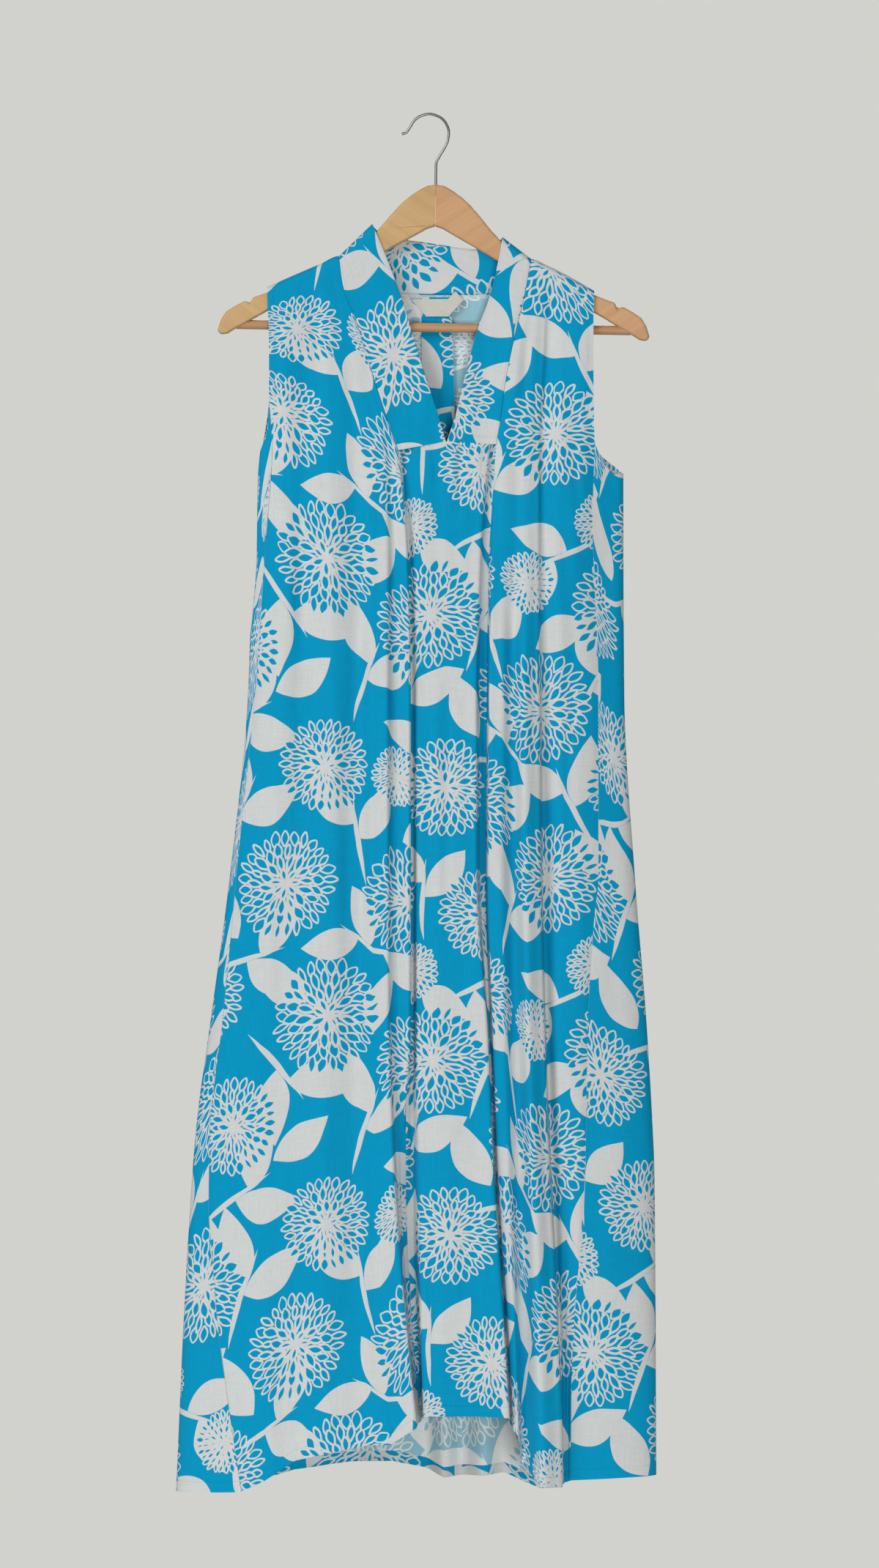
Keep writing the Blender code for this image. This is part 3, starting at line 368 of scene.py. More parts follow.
# The standing collar round the back of the neck. Columns: share of its length, across and height of its seam,
# across and height of its free top edge.
COLLAR = (
    (0.0, -93, -145, -59, -112), (0.09, -84, -163, -55, -117), (0.19, -65, -178.5, -42, -126),
    (0.35, -29, -184.5, -17, -128.5), (0.54, 16, -185, 20, -134), (0.74, 61, -184.5, 48, -137),
    (0.855, 86, -175, 62, -135.5), (0.94, 99, -160, 70, -131.5), (1.0, 105, -148, 75.5, -125.5),
)

# Facing strip down the inside of the centre back, and the bare label on it.
STRIP_LEFT = ((-187, -8), (-260, -8), (-420, -6))
STRIP_RIGHT = ((-187, 22), (-260, 25), (-420, 28))
STRIP_TOP = -187.0
STRIP_FOOT = -420.0
LABEL_OUTLINE = ((-19, -189), (-3, -207), (20, -207), (35, -189))


def curve(points):
    """A smooth function through (position, value) pairs, level past its ends and with no overshoot."""
    points = sorted(points)
    at = [p[0] for p in points]
    value = [p[1] for p in points]
    step = [b - a for a, b in zip(at, at[1:])]
    slope = [(b - a) / s for a, b, s in zip(value, value[1:], step)]
    tangent = [slope[0]]
    for (s0, m0), (s1, m1) in zip(zip(step, slope), zip(step[1:], slope[1:])):
        same_way = m0 * m1 > 0
        w0 = 2 * s1 + s0
        w1 = s1 + 2 * s0
        tangent.append((w0 + w1) / (w0 / m0 + w1 / m1) if same_way else 0.0)
    tangent.append(slope[-1])

    def read(t):
        t = min(max(t, at[0]), at[-1])
        i = 0
        while i < len(step) - 1 and t > at[i + 1]:
            i += 1
        s = step[i]
        u = (t - at[i]) / s
        start = value[i] * (1 + 2 * u) * (1 - u) ** 2 + tangent[i] * s * u * (1 - u) ** 2
        end = value[i + 1] * u * u * (3 - 2 * u) + tangent[i + 1] * s * u * u * (u - 1)
        return start + end

    return read


def mix(a, b, share):
    return a + (b - a) * share


def straight(points):
    """A function through (position, value) pairs with straight runs between them."""
    def read(t):
        for (t0, v0), (t1, v1) in zip(points, points[1:]):
            if t <= t1:
                break
        return mix(v0, v1, (t - t0) / (t1 - t0))

    return read


def ease(share):
    share = min(max(share, 0.0), 1.0)
    return share * share * (3 - 2 * share)


front_depth = curve(FRONT_DEPTH)
back_depth = curve(BACK_DEPTH)
shoulder_height = curve(SHOULDER)
band_foot_height = straight(BAND_FOOT)
collar_seam_height = curve(COLLAR_SEAM)
left_outline = curve(LEFT_OUTLINE)
right_outline = curve(RIGHT_OUTLINE)

Line = namedtuple("Line", "across out top join hem")


def seam_line(name, top=None):
    """The line of a named seam. With a top it starts there instead of at its first point."""
    rows = SEAMS[name]
    across = curve([(z, x) for z, x, _ in rows])
    out = curve([(z, o) for z, _, o in rows])
    start = rows[0][0] if top is None else top
    return Line(across, out, start, JOINS[name], rows[-1][0])


def fold_line(fold, top_edge, join, top_out):
    """The line of one fold. It takes the shape of the rows from FOLD_START below the panel's top edge."""
    start = top_edge(fold.top)
    rows = zip(HEIGHTS, fold.across, fold.out)
    below = [(z, x, o) for z, x, o in rows if fold.hem < z < start - FOLD_START]
    across = curve([(start, fold.top)] + [(z, x) for z, x, _ in below] + [(fold.hem, fold.across[-1])])
    first_out = below[0][2] if top_out is None else top_out
    out = curve([(start, first_out)] + [(z, o) for z, _, o in below] + [(fold.hem, fold.out[-1])])
    return Line(across, out, start, join, fold.hem)


def between_seams(lines):
    """The same lines, with each fold kept clear of both seams down to the foot of the yoke."""
    first = lines[0]
    last = lines[-1]
    kept = [first]
    for i, line in enumerate(lines[1:-1], 1):
        def across(z, line=line, before=i * FOLD_SPACING, after=(len(lines) - 1 - i) * FOLD_SPACING):
            x = line.across(z)
            if z < line.join:
                return x
            return min(max(x, first.across(z) + before), last.across(z) - after)
        kept.append(line._replace(across=across))
    return kept + [last]


def wrap(x, z):
    """1 on the flat of the dress, 0 at its outline, where front turns into back. Armhole edges stay apart."""
    left = left_outline(z)
    right = right_outline(z)
    middle = (left + right) / 2
    half = (right - left) / 2
    share = min(1.0, abs(x - middle) / half)
    closed = (1 - share**EDGE_ROUNDNESS) ** (1 / EDGE_ROUNDNESS)
    foot = LEFT_ARMHOLE_FOOT[-1][1] if x < middle else RIGHT_ARMHOLE_FOOT[-1][1]
    opening = ease((z - foot) / ARMHOLE_CLOSES_OVER)
    return mix(closed, 1.0, opening)


def ridge(below):
    """How much of its full depth a sheet has at this distance below the ridge of the shoulder."""
    short = 1 - min(max(below, 0.0), SHOULDER_ROUND) / SHOULDER_ROUND
    return math.sqrt(1 - short * short)


def front_y(x, z, out, below):
    return -max(RIDGE_HALF_GAP, (front_depth(z) * wrap(x, z) + out) * ridge(below))


def back_y(x, z, out, below):
    return max(RIDGE_HALF_GAP, (back_depth(z) * wrap(x, z) + out) * ridge(below))


# What tells front from back: which way it faces, its place in the noise, and how far it stands from the hanger.
Side = namedtuple("Side", "facing seed depth_of")
FRONT = Side(-1, 1.0, front_y)
BACK = Side(1, 5.0, back_y)


def field_operator(operation, swapped=False):
    """A method that joins a field with other numbers by this operation, with the field last if swapped."""
    def joined(field, *others):
        return maths(operation, *others, field) if swapped else maths(operation, field, *others)
    return joined


class Field:
    """A number or vector that varies over a surface. Arithmetic on a number adds math nodes to its shader."""

    def __init__(self, socket):
        self.socket = socket
        self.tree = socket.id_data

    __add__ = field_operator("ADD")
    __sub__ = field_operator("SUBTRACT")
    __rsub__ = field_operator("SUBTRACT", swapped=True)
    __mul__ = field_operator("MULTIPLY")
    __truediv__ = field_operator("DIVIDE")
    __lt__ = field_operator("LESS_THAN")
    __gt__ = field_operator("GREATER_THAN")
    __abs__ = field_operator("ABSOLUTE")


def feed(socket, value):
    """Gives a node's input a number, a colour, a vector or a field."""
    if isinstance(value, Field):
        value.tree.links.new(value.socket, socket)
    else:
        socket.default_value = (*value, 1.0) if socket.type == "RGBA" else value


def feed_named(node, values):
    for name, value in values.items():
        feed(node.inputs[name], value)


def add_node(tree, kind, values=(), **settings):
    """A node with these settings, and its inputs fed in their order."""
    node = tree.nodes.new("ShaderNode" + kind)
    for key, value in settings.items():
        setattr(node, key, value)
    for socket, value in zip([s for s in node.inputs if s.enabled], values):
        feed(socket, value)
    return node


def tree_of(values):
    return next(value.tree for value in values if isinstance(value, Field))


def maths(operation, *values):
    return Field(add_node(tree_of(values), "Math", values, operation=operation).outputs[0])


def vectors(operation, *values):
    """The outcome of a vector operation: a vector, or a number from LENGTH."""
    node = add_node(tree_of(values), "VectorMath", values, operation=operation)
    return Field(node.outputs["Value" if operation == "LENGTH" else "Vector"])


def chosen(factor, a, b, kind="RGBA", blend="MIX"):
    """a where the factor is 0 and b where it is 1."""
    node = add_node(tree_of((factor, a, b)), "Mix", (factor, a, b), data_type=kind, blend_type=blend)
    return Field(next(s for s in node.outputs if s.enabled))


def highest(fields):
    """The greatest of several numbers at each place."""
    top, *others = fields
    for other in others:
        top = maths("MAXIMUM", top, other)
    return top


def apart(vector):
    node = add_node(vector.tree, "SeparateXYZ", (vector,))
    return {axis: Field(node.outputs[axis]) for axis in "XYZ"}


def together(x, y, z):
    return Field(add_node(tree_of((x, y, z)), "CombineXYZ", (x, y, z)).outputs[0])


def turned(vector, degrees, axis):
    node = add_node(vector.tree, "VectorRotate", rotation_type=axis + "_AXIS")
    feed_named(node, {"Vector": vector, "Angle": math.radians(degrees)})
    return Field(node.outputs[0])


def noise_of(vector, scale, detail, output=0):
    return Field(add_node(vector.tree, "TexNoise", (vector, scale, detail)).outputs[output])


def stretched_noise(vector, stretch, detail):
    return noise_of(vectors("MULTIPLY", vector, stretch), 1.0, detail)


def uv(tree, layer):
    return Field(add_node(tree, "UVMap", uv_map=layer).outputs[0])


def motif_place(point, motif):
    """The point as seen from a motif's middle and turned with it, in the nearest repeat of the print."""
    half = (REPEAT_WIDTH / 2, REPEAT_HEIGHT / 2, 1.0)
    moved = vectors("SUBTRACT", point, (motif.across * MM, motif.along * MM, 0.0))
    return turned(vectors("WRAP", moved, half, tuple(-h for h in half)), -motif.turn, "Z")


def leaf_shape(x, y, leaf, size=MM):
    """1 inside a leaf that lies along x: pointed at both ends, fuller towards its base, and bent along its length."""
    x = x / (leaf.half_length * size)
    inside = 1.0 - x * x
    fuller = maths("MAXIMUM", 1.0 - x * leaf.base, 0.0)
    return abs(y - inside * (leaf.bend * size)) < inside * fuller * (leaf.half_width * size)


def leaf_mask(point, leaf):
    """1 inside a leaf on its own."""
    place = apart(motif_place(point, leaf))
    return leaf_shape(place["X"], place["Y"], leaf)


def sprig_mask(point, sprig):
    """1 inside a stem and the leaf on each side of it."""
    size = sprig.size * MM
    place = apart(motif_place(point, sprig))
    off = abs(place["Y"])
    stem = leaf_shape(place["X"] - STEM_MIDDLE * size, place["Y"], STEM, size)
    staggered = place["X"] - maths("SIGN", place["Y"]) * (SPRIG_STAGGER * size)
    cos, sin = math.cos(math.radians(SPRIG_SPREAD)), math.sin(math.radians(SPRIG_SPREAD))
    from_leaf = staggered * cos + off * sin - SPRIG_LEAF.half_length * size
    return highest((stem, leaf_shape(from_leaf, off * cos - staggered * sin, SPRIG_LEAF, size)))


def petal_rings(ring, turn, reach, radius, first):
    """Every other ring of petals: its number, and how far inside its petal's rim a point is, below 0 outside."""
    shifted = ring + PETAL_OVERLAP - first
    index = maths("FLOOR", shifted / 2.0)
    along = shifted - index * 2.0
    number = index * 2.0 + first
    petals = number * PETALS_MORE + PETALS_FIRST
    around = turn * petals + number * PETAL_TURN
    petal = maths("FLOORED_MODULO", maths("FLOOR", around), petals)
    seed = together(petal, number, radius * (1 / MM))
    chance = add_node(ring.tree, "TexWhiteNoise", (seed,), noise_dimensions="3D")
    uneven = apart(vectors("SUBTRACT", Field(chance.outputs["Color"]), (0.5, 0.5, 0.5)))
    share = along / (uneven["X"] * PETAL_UNEVEN_REACH + PETAL_LENGTH)
    middle = uneven["Y"] * (share * PETAL_LEAN - PETAL_LEAN / 2) + 0.5
    side = abs(maths("FRACT", around) - middle)
    half_width = uneven["Z"] * PETAL_UNEVEN_WIDTH + PETAL_HALF_WIDTH
    arch = maths("SINE", maths("MINIMUM", share, 1.0) * math.pi)
    cell = reach * (2 * math.pi) / petals
    steep = maths("COSINE", share * math.pi) * cell * (PETAL_HALF_WIDTH * math.pi / PETAL_TYPICAL_LENGTH)
    inside = (arch * half_width - side) * cell / maths("SQRT", steep * steep + 1.0)
    on_ring = (share < 1.0) * (number < PETAL_RINGS) * (number > -0.5)
    return number, chosen(on_ring, -1.0, inside, "FLOAT")


def nearest_bloom(point):
    """The place in the nearest bloom, its distance from the middle, both as shares of the radius, and the radius."""
    nearest = None
    for bloom in map(Bloom._make, BLOOMS):
        place = vectors("SCALE", motif_place(point, bloom), 1 / (bloom.radius * MM))
        far = vectors("LENGTH", place)
        if nearest is None:
            nearest, flower, radius = far, place, bloom.radius * MM
            continue
        nearer = far < nearest
        flower = chosen(nearer, flower, place, "VECTOR")
        radius = chosen(nearer, radius, bloom.radius * MM, "FLOAT")
        nearest = maths("MINIMUM", far, nearest)
    return flower, nearest, radius


def print_group():
    """The print: leaves, and blooms of outlined petals over them. It gives 1 for off-white and 0 for the ground."""
    tree = bpy.data.node_groups.new("flower print", "ShaderNodeTree")
    tree.interface.new_socket("Cloth", in_out="INPUT", socket_type="NodeSocketVector")
    tree.interface.new_socket("White", in_out="OUTPUT", socket_type="NodeSocketFloat")
    entry = Field(tree.nodes.new("NodeGroupInput").outputs[0])
    shaken = vectors("SUBTRACT", noise_of(entry, WOBBLE_SCALE, 1.0, "Color"), (0.5, 0.5, 0.5))
    point = vectors("ADD", entry, vectors("SCALE", shaken, DRAWN_WOBBLE))
    leaves = [leaf_mask(point, leaf) for leaf in map(Leaf._make, LEAVES)]
    leaves = highest(leaves + [sprig_mask(point, sprig) for sprig in map(Sprig._make, SPRIGS)])

    flower, nearest, radius = nearest_bloom(point)
    sides = apart(flower)
    turn = maths("ARCTAN2", sides["Y"], sides["X"]) / (2 * math.pi)
    ring = maths("POWER", nearest, RING_CROWDING) * PETAL_RINGS
    reach = nearest * radius
    even_number, even = petal_rings(ring, turn, reach, radius, 0)
    odd_number, odd = petal_rings(ring, turn, reach, radius, 1)
    even_first = even_number < odd_number
    upper = chosen(even_first, odd, even, "FLOAT")
    lower = chosen(even_first, even, odd, "FLOAT")
    from_rim = maths("MAXIMUM", 1.0 - nearest, 0.0)
    half_line = (from_rim * from_rim * MIDDLE_BOLDNESS + 1.0) * (PETAL_LINE / 2)
    beside = upper < half_line * -1.0
    line = highest((abs(upper) < half_line, (abs(lower) < half_line) * beside))
    petal = highest((upper, lower)) > half_line
    white = highest((leaves * (1.0 - petal), line, reach < HEART_RADIUS))
    feed(tree.nodes.new("NodeGroupOutput").inputs[0], white)
    return tree


def stitch_row(distance, at, along):
    """1 on the stitches of a row sewn at a distance from an edge."""
    near = abs(distance - at) < STITCH_WIDTH / 2
    return near * (maths("FRACT", along / STITCH_LENGTH) < STITCH_SHARE)


def new_material(name):
    made = bpy.data.materials.new(name)
    made.use_nodes = True
    return made, made.node_tree, made.node_tree.nodes["Principled BSDF"]


def bump(height, distance, strength):
    node = add_node(height.tree, "Bump")
    feed_named(node, {"Height": height, "Distance": distance, "Strength": strength})
    return Field(node.outputs[0])


def cloth_material(name, offset, stitches, outside=True, overlocked=False):
    """The printed cloth. stitches is a list of (layer, side of it, distance, coordinate that it runs along).

    Seen from the inside, the cloth turned under between an edge and its stitches shows its right side, and the
    seam of the collar is overlocked.
    """
    made, tree, shader = new_material(name)
    cloth = uv(tree, "cut")
    sides = apart(cloth)
    printed = vectors("ADD", cloth, (offset[0] * MM, offset[1] * MM, 0.0))
    if not outside:
        edge = apart(uv(tree, "edge"))
        hem = edge["X"] < HEM_STITCH * MM
        under = highest((hem, edge["Y"] < ARMHOLE_STITCH * MM))
        printed = vectors("ADD", printed, together(0.0, edge["X"] * hem * -2.0, 0.0))
    white = Field(add_node(tree, "Group", (printed,), node_tree=flowers).outputs[0])
    ink = chosen(white, GROUND, WHITE)
    if not outside:
        # Inside the dress the reverse's colours are lightened: painted light on cloth that the lamps leave in shade.
        ink = chosen(under, chosen(white, GROUND_BEHIND_WITH_PAINTED_LIGHT, WHITE_BEHIND_WITH_PAINTED_LIGHT), ink)
    if overlocked:
        down = apart(uv(tree, "seam"))["X"]
        thread = maths("FRACT", (sides["X"] + down) / OVERLOCK_PITCH) < OVERLOCK_SHARE
        ink = chosen(thread * (down < OVERLOCK_WIDTH), ink, OVERLOCK_THREAD)

    upright = stretched_noise(cloth, (SLUB_FINE, SLUB_LONG, 1.0), detail=3.0)
    level = stretched_noise(cloth, (SLUB_LONG, SLUB_FINE, 1.0), detail=3.0)
    warp, weft = (maths("SINE", sides[axis] * (2 * math.pi / THREAD_PITCH)) for axis in "XY")
    height = warp * weft * THREAD_HEIGHT + highest((upright, level)) * SLUB_HEIGHT
    lightness = (upright + level) * SLUB_CONTRAST + (1.0 - SLUB_CONTRAST)
    if stitches:
        sewn = highest([stitch_row(apart(uv(tree, layer))[side], distance * MM, sides[runs])
                        for layer, side, distance, runs in stitches])
        lightness = lightness * (1.0 - sewn * STITCH_SHADE)
        height = height - sewn * STITCH_DEPTH
    feed_named(shader, {
        "Base Color": chosen(1.0, ink, lightness, blend="MULTIPLY"),
        "Normal": bump(height, distance=1.0, strength=0.6),
        "Roughness": 0.85, "Specular IOR Level": 0.08, "Sheen Weight": 0.03, "Sheen Roughness": 0.45,
    })
    return made


def wood_material(name, dark, light, slope):
    """Lacquered beech: long grain along a piece that slopes at this angle, with short dark flecks."""
    made, tree, shader = new_material(name)
    place = turned(Field(add_node(tree, "TexCoord").outputs["Object"]), slope, "Y")
    grain = stretched_noise(place, GRAIN_STRETCH, detail=3.0)
    flecks = stretched_noise(place, FLECK_STRETCH, detail=1.0)
    tone = grain * (1 - FLECK_SHARE) + flecks * FLECK_SHARE
    shade = (tone - 0.5) * GRAIN_CONTRAST + 0.5
    feed_named(shader, {
        "Base Color": chosen(shade, dark, light), "Normal": bump(tone, distance=0.00005, strength=0.2),
        "Roughness": 0.5, "Specular IOR Level": 0.25, "Coat Weight": 0.04, "Coat Roughness": 0.3,
    })
    return made


def chrome_material(name):
    made, _, shader = new_material(name)
    # The wire's colour is much darker than chrome's: painted shade in place of the darker surroundings it would
    # reflect.
    feed_named(shader, {"Base Color": (0.24, 0.24, 0.25), "Roughness": 0.38, "Metallic": 1.0})
    return made


def ribbon_material(name):
    """Plain woven ribbon, with nothing on it."""
    made, tree, shader = new_material(name)
    place = uv(tree, "cut")
    ribs = maths("SINE", apart(place)["Y"] * (2 * math.pi / RIBBON_RIB))
    feed_named(shader, {
        "Base Color": chosen(noise_of(place, scale=300.0, detail=3.0), (0.44, 0.43, 0.38), (0.56, 0.55, 0.49)),
        "Normal": bump(ribs, distance=0.00005, strength=0.25), "Roughness": 0.55, "Sheen Weight": 0.15,
    })
    return made


def lengths(points):
    """Distance of each point from the first, along the line through them."""
    total = [0.0]
    for a, b in zip(points, points[1:]):
        total.append(total[-1] + (b - a).length)
    return total


def flipped(grid):
    """The rows of a grid that was made column by column, or its columns."""
    return [list(row) for row in zip(*grid)]


def new_object(name, data):
    made = bpy.data.objects.new(name, data)
    bpy.context.scene.collection.objects.link(made)
    return made


class Sheet:
    """A sheet of cloth as a grid of points on its outer face, in millimetres, with its flat measurements."""

    def __init__(self, grid, middle):
        self.grid = grid
        rows = [lengths(row) for row in grid]
        columns = [lengths(column) for column in zip(*grid)]
        down = columns[middle]
        self.cut = [[(d - row[middle], -down[r]) for d in row] for r, row in enumerate(rows)]
        self.from_left = rows
        self.from_right = [[row[-1] - d for d in row] for row in rows]
        self.from_top = flipped(columns)
        self.from_foot = flipped([[column[-1] - d for d in column] for column in columns])
        self.width = max(row[-1] for row in rows)
        self.length = max(column[-1] for column in columns)
        self.area = 0.0
        for upper, lower in zip(grid, grid[1:]):
            for a, b, c, d in zip(upper, upper[1:], lower[1:], lower):
                self.area += ((b - a).cross(d - a).length + (b - c).cross(d - c).length) / 2

    def build(self, name, node, thickness, faces_towards, outer, inner, layers, hangs_from):
        """The piece: its outer face is the grid, and its wall goes on the other side of it."""
        body = bmesh.new()
        made = [[body.verts.new(point * MM) for point in row] for row in self.grid]
        maps = {"cut": self.cut, **layers}
        uv_layers = {key: body.loops.layers.uv.new(key) for key in maps}
        for r in range(len(made) - 1):
            for c in range(len(made[r]) - 1):
                corners = ((r, c), (r, c + 1), (r + 1, c + 1), (r + 1, c))
                face = body.faces.new([made[i][j] for i, j in corners])
                face.smooth = True
                for loop, (i, j) in zip(face.loops, corners):
                    for key, layer in uv_layers.items():
                        u, v = maps[key][i][j]
                        loop[layer].uv = (u * MM, v * MM)
        body.normal_update()
        towards = Vector(faces_towards)
        if sum((face.normal * face.calc_area()).dot(towards) for face in body.faces) < 0:
            bmesh.ops.reverse_faces(body, faces=body.faces[:])
        for edge in body.edges:
            if edge.is_boundary:
                edge.smooth = False
        mesh = bpy.data.meshes.new(name)
        body.to_mesh(mesh)
        body.free()
        mesh.materials.append(outer)
        mesh.materials.append(inner)
        piece = new_object(name, mesh)
        wall = piece.modifiers.new("Wall", "SOLIDIFY")
        wall.thickness = thickness * MM
        wall.offset = -1.0
        wall.use_quality_normals = True
        wall.material_offset = 1
        wall.material_offset_rim = 1 if inner is not outer else 0
        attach(piece, "root")
        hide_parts(node)


def lines_of(seams, folds, top_edge, has_yoke):
    """The lines of a panel from its left seam to its right one."""
    left, right = seams
    lines = [seam_line(left, None if has_yoke else JOINS[left])]
    for i, fold in enumerate(map(Fold._make, folds), 1):
        join = mix(JOINS[left], JOINS[right], i / (len(folds) + 1))
        lines.append(fold_line(fold, top_edge, join, 0.0 if has_yoke else None))
    lines.append(seam_line(right, None if has_yoke else JOINS[right]))
    return lines


def row_heights(top, join, hem, has_yoke):
    """Heights of the rows down one column: near the ridge, down to the join, down to the hem, and the turned hem."""
    rows = [top]
    if has_yoke:
        rows = [top - d for d in RIDGE_ROWS]
        rows += [mix(rows[-1], join, i / YOKE_ROWS) for i in range(1, YOKE_ROWS + 1)]
    start = rows[-1]
    rows += [mix(start, hem + HEM_ROWS[0], i / SKIRT_ROWS) for i in range(1, SKIRT_ROWS + 1)]
    return rows + [hem + d for d in HEM_ROWS[1:]]


def crease_at(x, z):
    """How far the small creases draw the cloth in at one place."""
    inward = 0.0
    for crease in map(Crease._make, CREASES):
        share = (crease.top - z) / (crease.top - crease.foot)
        if 0 <= share <= 1:
            off = (x - mix(crease.top_across, crease.foot_across, share)) / crease.half_width
            fade = ease((1 - share) * CREASE_FADE_OUT) * ease(share * CREASE_FADE_IN + CREASE_START)
            inward += crease.depth * math.exp(-off * off) * fade
    return inward


def wave_at(wave, x, z, seed=0.0):
    return noise.noise(Vector((x / wave.across, z / wave.along, seed + wave.seed))) * wave.height


def hanging(x, z, side):
    """How far the unevenness of hanging cloth moves it out at one place."""
    return sum(wave_at(wave, x, z, side.seed) for wave in WAVES) * ease((shoulder_height(x) - z) / WAVES_GROW)


def panel_sheet(lines, top_edge, side, armholes, has_yoke):
    """The outer face of a panel."""
    columns = []
    for i, (left, right) in enumerate(zip(lines, lines[1:])):
        widest = max(abs(right.across(z) - left.across(z)) for z in HEIGHTS)
        cells = max(FEWEST_CELLS, round(widest / CELL_WIDTH))
        if i == len(lines) // 2:
            middle = len(columns)
        for c in range(cells + (right is lines[-1])):
            share = c / cells
            top = top_edge(mix(left.across(left.top), right.across(right.top), share))
            join = mix(left.join, right.join, share)
            column = []
            for z in row_heights(top, join, mix(left.hem, right.hem, share), has_yoke):
                x = mix(left.across(z), right.across(z), share)
                out = mix(left.out(z), right.out(z), ease(share)) + hanging(x, z, side)
                if side is FRONT:
                    out -= crease_at(x, z)
                column.append(Vector((x, side.depth_of(x, z, out, shoulder_height(x) - z), z)))
            columns.append(column)
    grid = flipped(columns)
    finish_edges(grid, side.facing, armholes)
    leave_gaps(grid)
    return Sheet(grid, middle)


def finish_edges(grid, facing, armholes):
    """Draws the cloth in along its seams, and makes the doubled cloth of the turned hem stand out a little."""
    for row in grid:
        along = lengths(row)
        for i, point in enumerate(row):
            for end, armhole, off in ((row[0], armholes[0], along[i]), (row[-1], armholes[1], along[-1] - along[i])):
                if end.z < armhole:
                    point.y -= facing * SEAM_DIP * math.exp(-off / SEAM_DIP_REACH)
    for row, rise in zip(grid[-len(HEM_RISE):], HEM_RISE):
        for point in row:
            point.y += facing * rise


def leave_gaps(grid):
    """Makes room at both ends of each row for half the gap of a seam."""
    for row in grid:
        row[0] += (row[1] - row[0]).normalized() * (SEAM_GAP / 2)
        row[-1] += (row[-2] - row[-1]).normalized() * (SEAM_GAP / 2)


def armhole_distance(sheet, armholes):
    """How far each point is from the armhole's edge, or NO_EDGE below it."""
    far = []
    for row, left, right in zip(sheet.grid, sheet.from_left, sheet.from_right):
        near = [NO_EDGE] * len(row)
        for end, armhole, distances in ((row[0], armholes[0], left), (row[-1], armholes[1], right)):
            if end.z > armhole:
                near = [min(pair) for pair in zip(near, distances)]
        far.append(near)
    return far


def paired(first, second):
    return [list(zip(*rows)) for rows in zip(first, second)]


def build_printed(name, sheet, thickness, towards, offset, stitches, layers, hangs_from, reverse=False,
                  overlocked=False):
    """A printed piece, with the right side of the cloth on both its faces unless its reverse shows."""
    outer = inner = cloth_material(name + " cloth", offset, stitches)
    if reverse:
        inner = cloth_material(name + " reverse", offset, stitches, outside=False, overlocked=overlocked)
    sheet.build(name + "_cloth", name, thickness, towards, outer, inner, layers, hangs_from)


def panel(name, seams, folds, top_edge, side, offset, hangs_from):
    """A front or back panel with a turned hem and, where it has one, a stitched armhole edge."""
    has_yoke = top_edge is not band_foot_height
    lines = lines_of(seams, folds, top_edge, has_yoke)
    if side is FRONT and has_yoke:
        lines = between_seams(lines)
    armholes = [JOINS[seam] if seam in ARMHOLE_SEAMS else NO_ARMHOLE for seam in seams]
    sheet = panel_sheet(lines, top_edge, side, armholes, has_yoke)
    layers = {
        "edge": paired(sheet.from_foot, armhole_distance(sheet, armholes)),
        "seam": paired(sheet.from_top, sheet.from_top),
    }
    stitches = [("edge", "X", HEM_STITCH, "X"), ("edge", "Y", ARMHOLE_STITCH, "Y")]
    build_printed(name, sheet, CLOTH, (0, side.facing, 0), offset, stitches, layers, hangs_from,
                  reverse=True, overlocked=side is BACK)


def back_top(x):
    """Height of a back panel's top edge: the shoulder ridge, then the seam of the collar."""
    inside_neck = COLLAR_SEAM[0][0] < x < COLLAR_SEAM[-1][0]
    return collar_seam_height(x) if inside_neck else shoulder_height(x)


def side_panel(name, seams, outline, outline_hem, armhole_foot, outward, offset, hangs_from):
    """The panel under one arm, from its front seam round the outline to its seam behind."""
    front, back = (seam_line(seam) for seam in seams)
    foot = curve(armhole_foot)
    turns = [("front", math.sin(c / SIDE_CELLS * math.pi / 2)) for c in range(SIDE_CELLS + 1)]
    turns += [("back", 1 - math.cos(c / SIDE_CELLS * math.pi / 2)) for c in range(1, SIDE_CELLS + 1)]
    columns = []
    for half, share in turns:
        top = foot(share) if half == "front" else mix(foot(1), back.join, share)
        hem = mix(front.hem, outline_hem, share) if half == "front" else mix(outline_hem, back.hem, share)
        column = []
        for z in row_heights(top, top, hem, False):
            if half == "front":
                x = mix(front.across(z), outline(z), share)
                out = mix(front.out(z) + hanging(x, z, FRONT) - crease_at(x, z), 0.0, ease(share))
                y = -(front_depth(z) * wrap(x, z) + out) if share < 1 else 0.0
            else:
                x = mix(outline(z), back.across(z), share)
                y = back_depth(z) * wrap(x, z) + hanging(x, z, BACK) * ease(share)
            column.append(Vector((x, y, z)))
        columns.append(column)
    grid = flipped(columns)
    leave_gaps(grid)
    sheet = Sheet(grid, SIDE_CELLS)
    from_armhole = [[row[SIDE_CELLS]] * len(row) for row in sheet.from_top]
    layers = {"edge": paired(sheet.from_foot, from_armhole)}
    stitches = [("edge", "X", HEM_STITCH, "X"), ("edge", "Y", ARMHOLE_STITCH, "X")]
    build_printed(name, sheet, CLOTH, (outward, -0.2, 0), offset, stitches, layers, hangs_from, reverse=True)


def band_shares():
    """Where the columns of a folded band lie across it: close together at both folded edges."""
    last = BAND_EDGE_SHARES[-1]
    between = [mix(last, 1 - last, c / BAND_CELLS) for c in range(1, BAND_CELLS)]
    return [*BAND_EDGE_SHARES, *between, *(1 - share for share in reversed(BAND_EDGE_SHARES))]


def rounded(distance):
    """How far a folded edge is rounded off at a distance from it."""
    short = 1 - min(distance, BAND_EDGE_ROUND) / BAND_EDGE_ROUND
    return BAND_EDGE_ROUND * (1 - math.sqrt(1 - short * short))


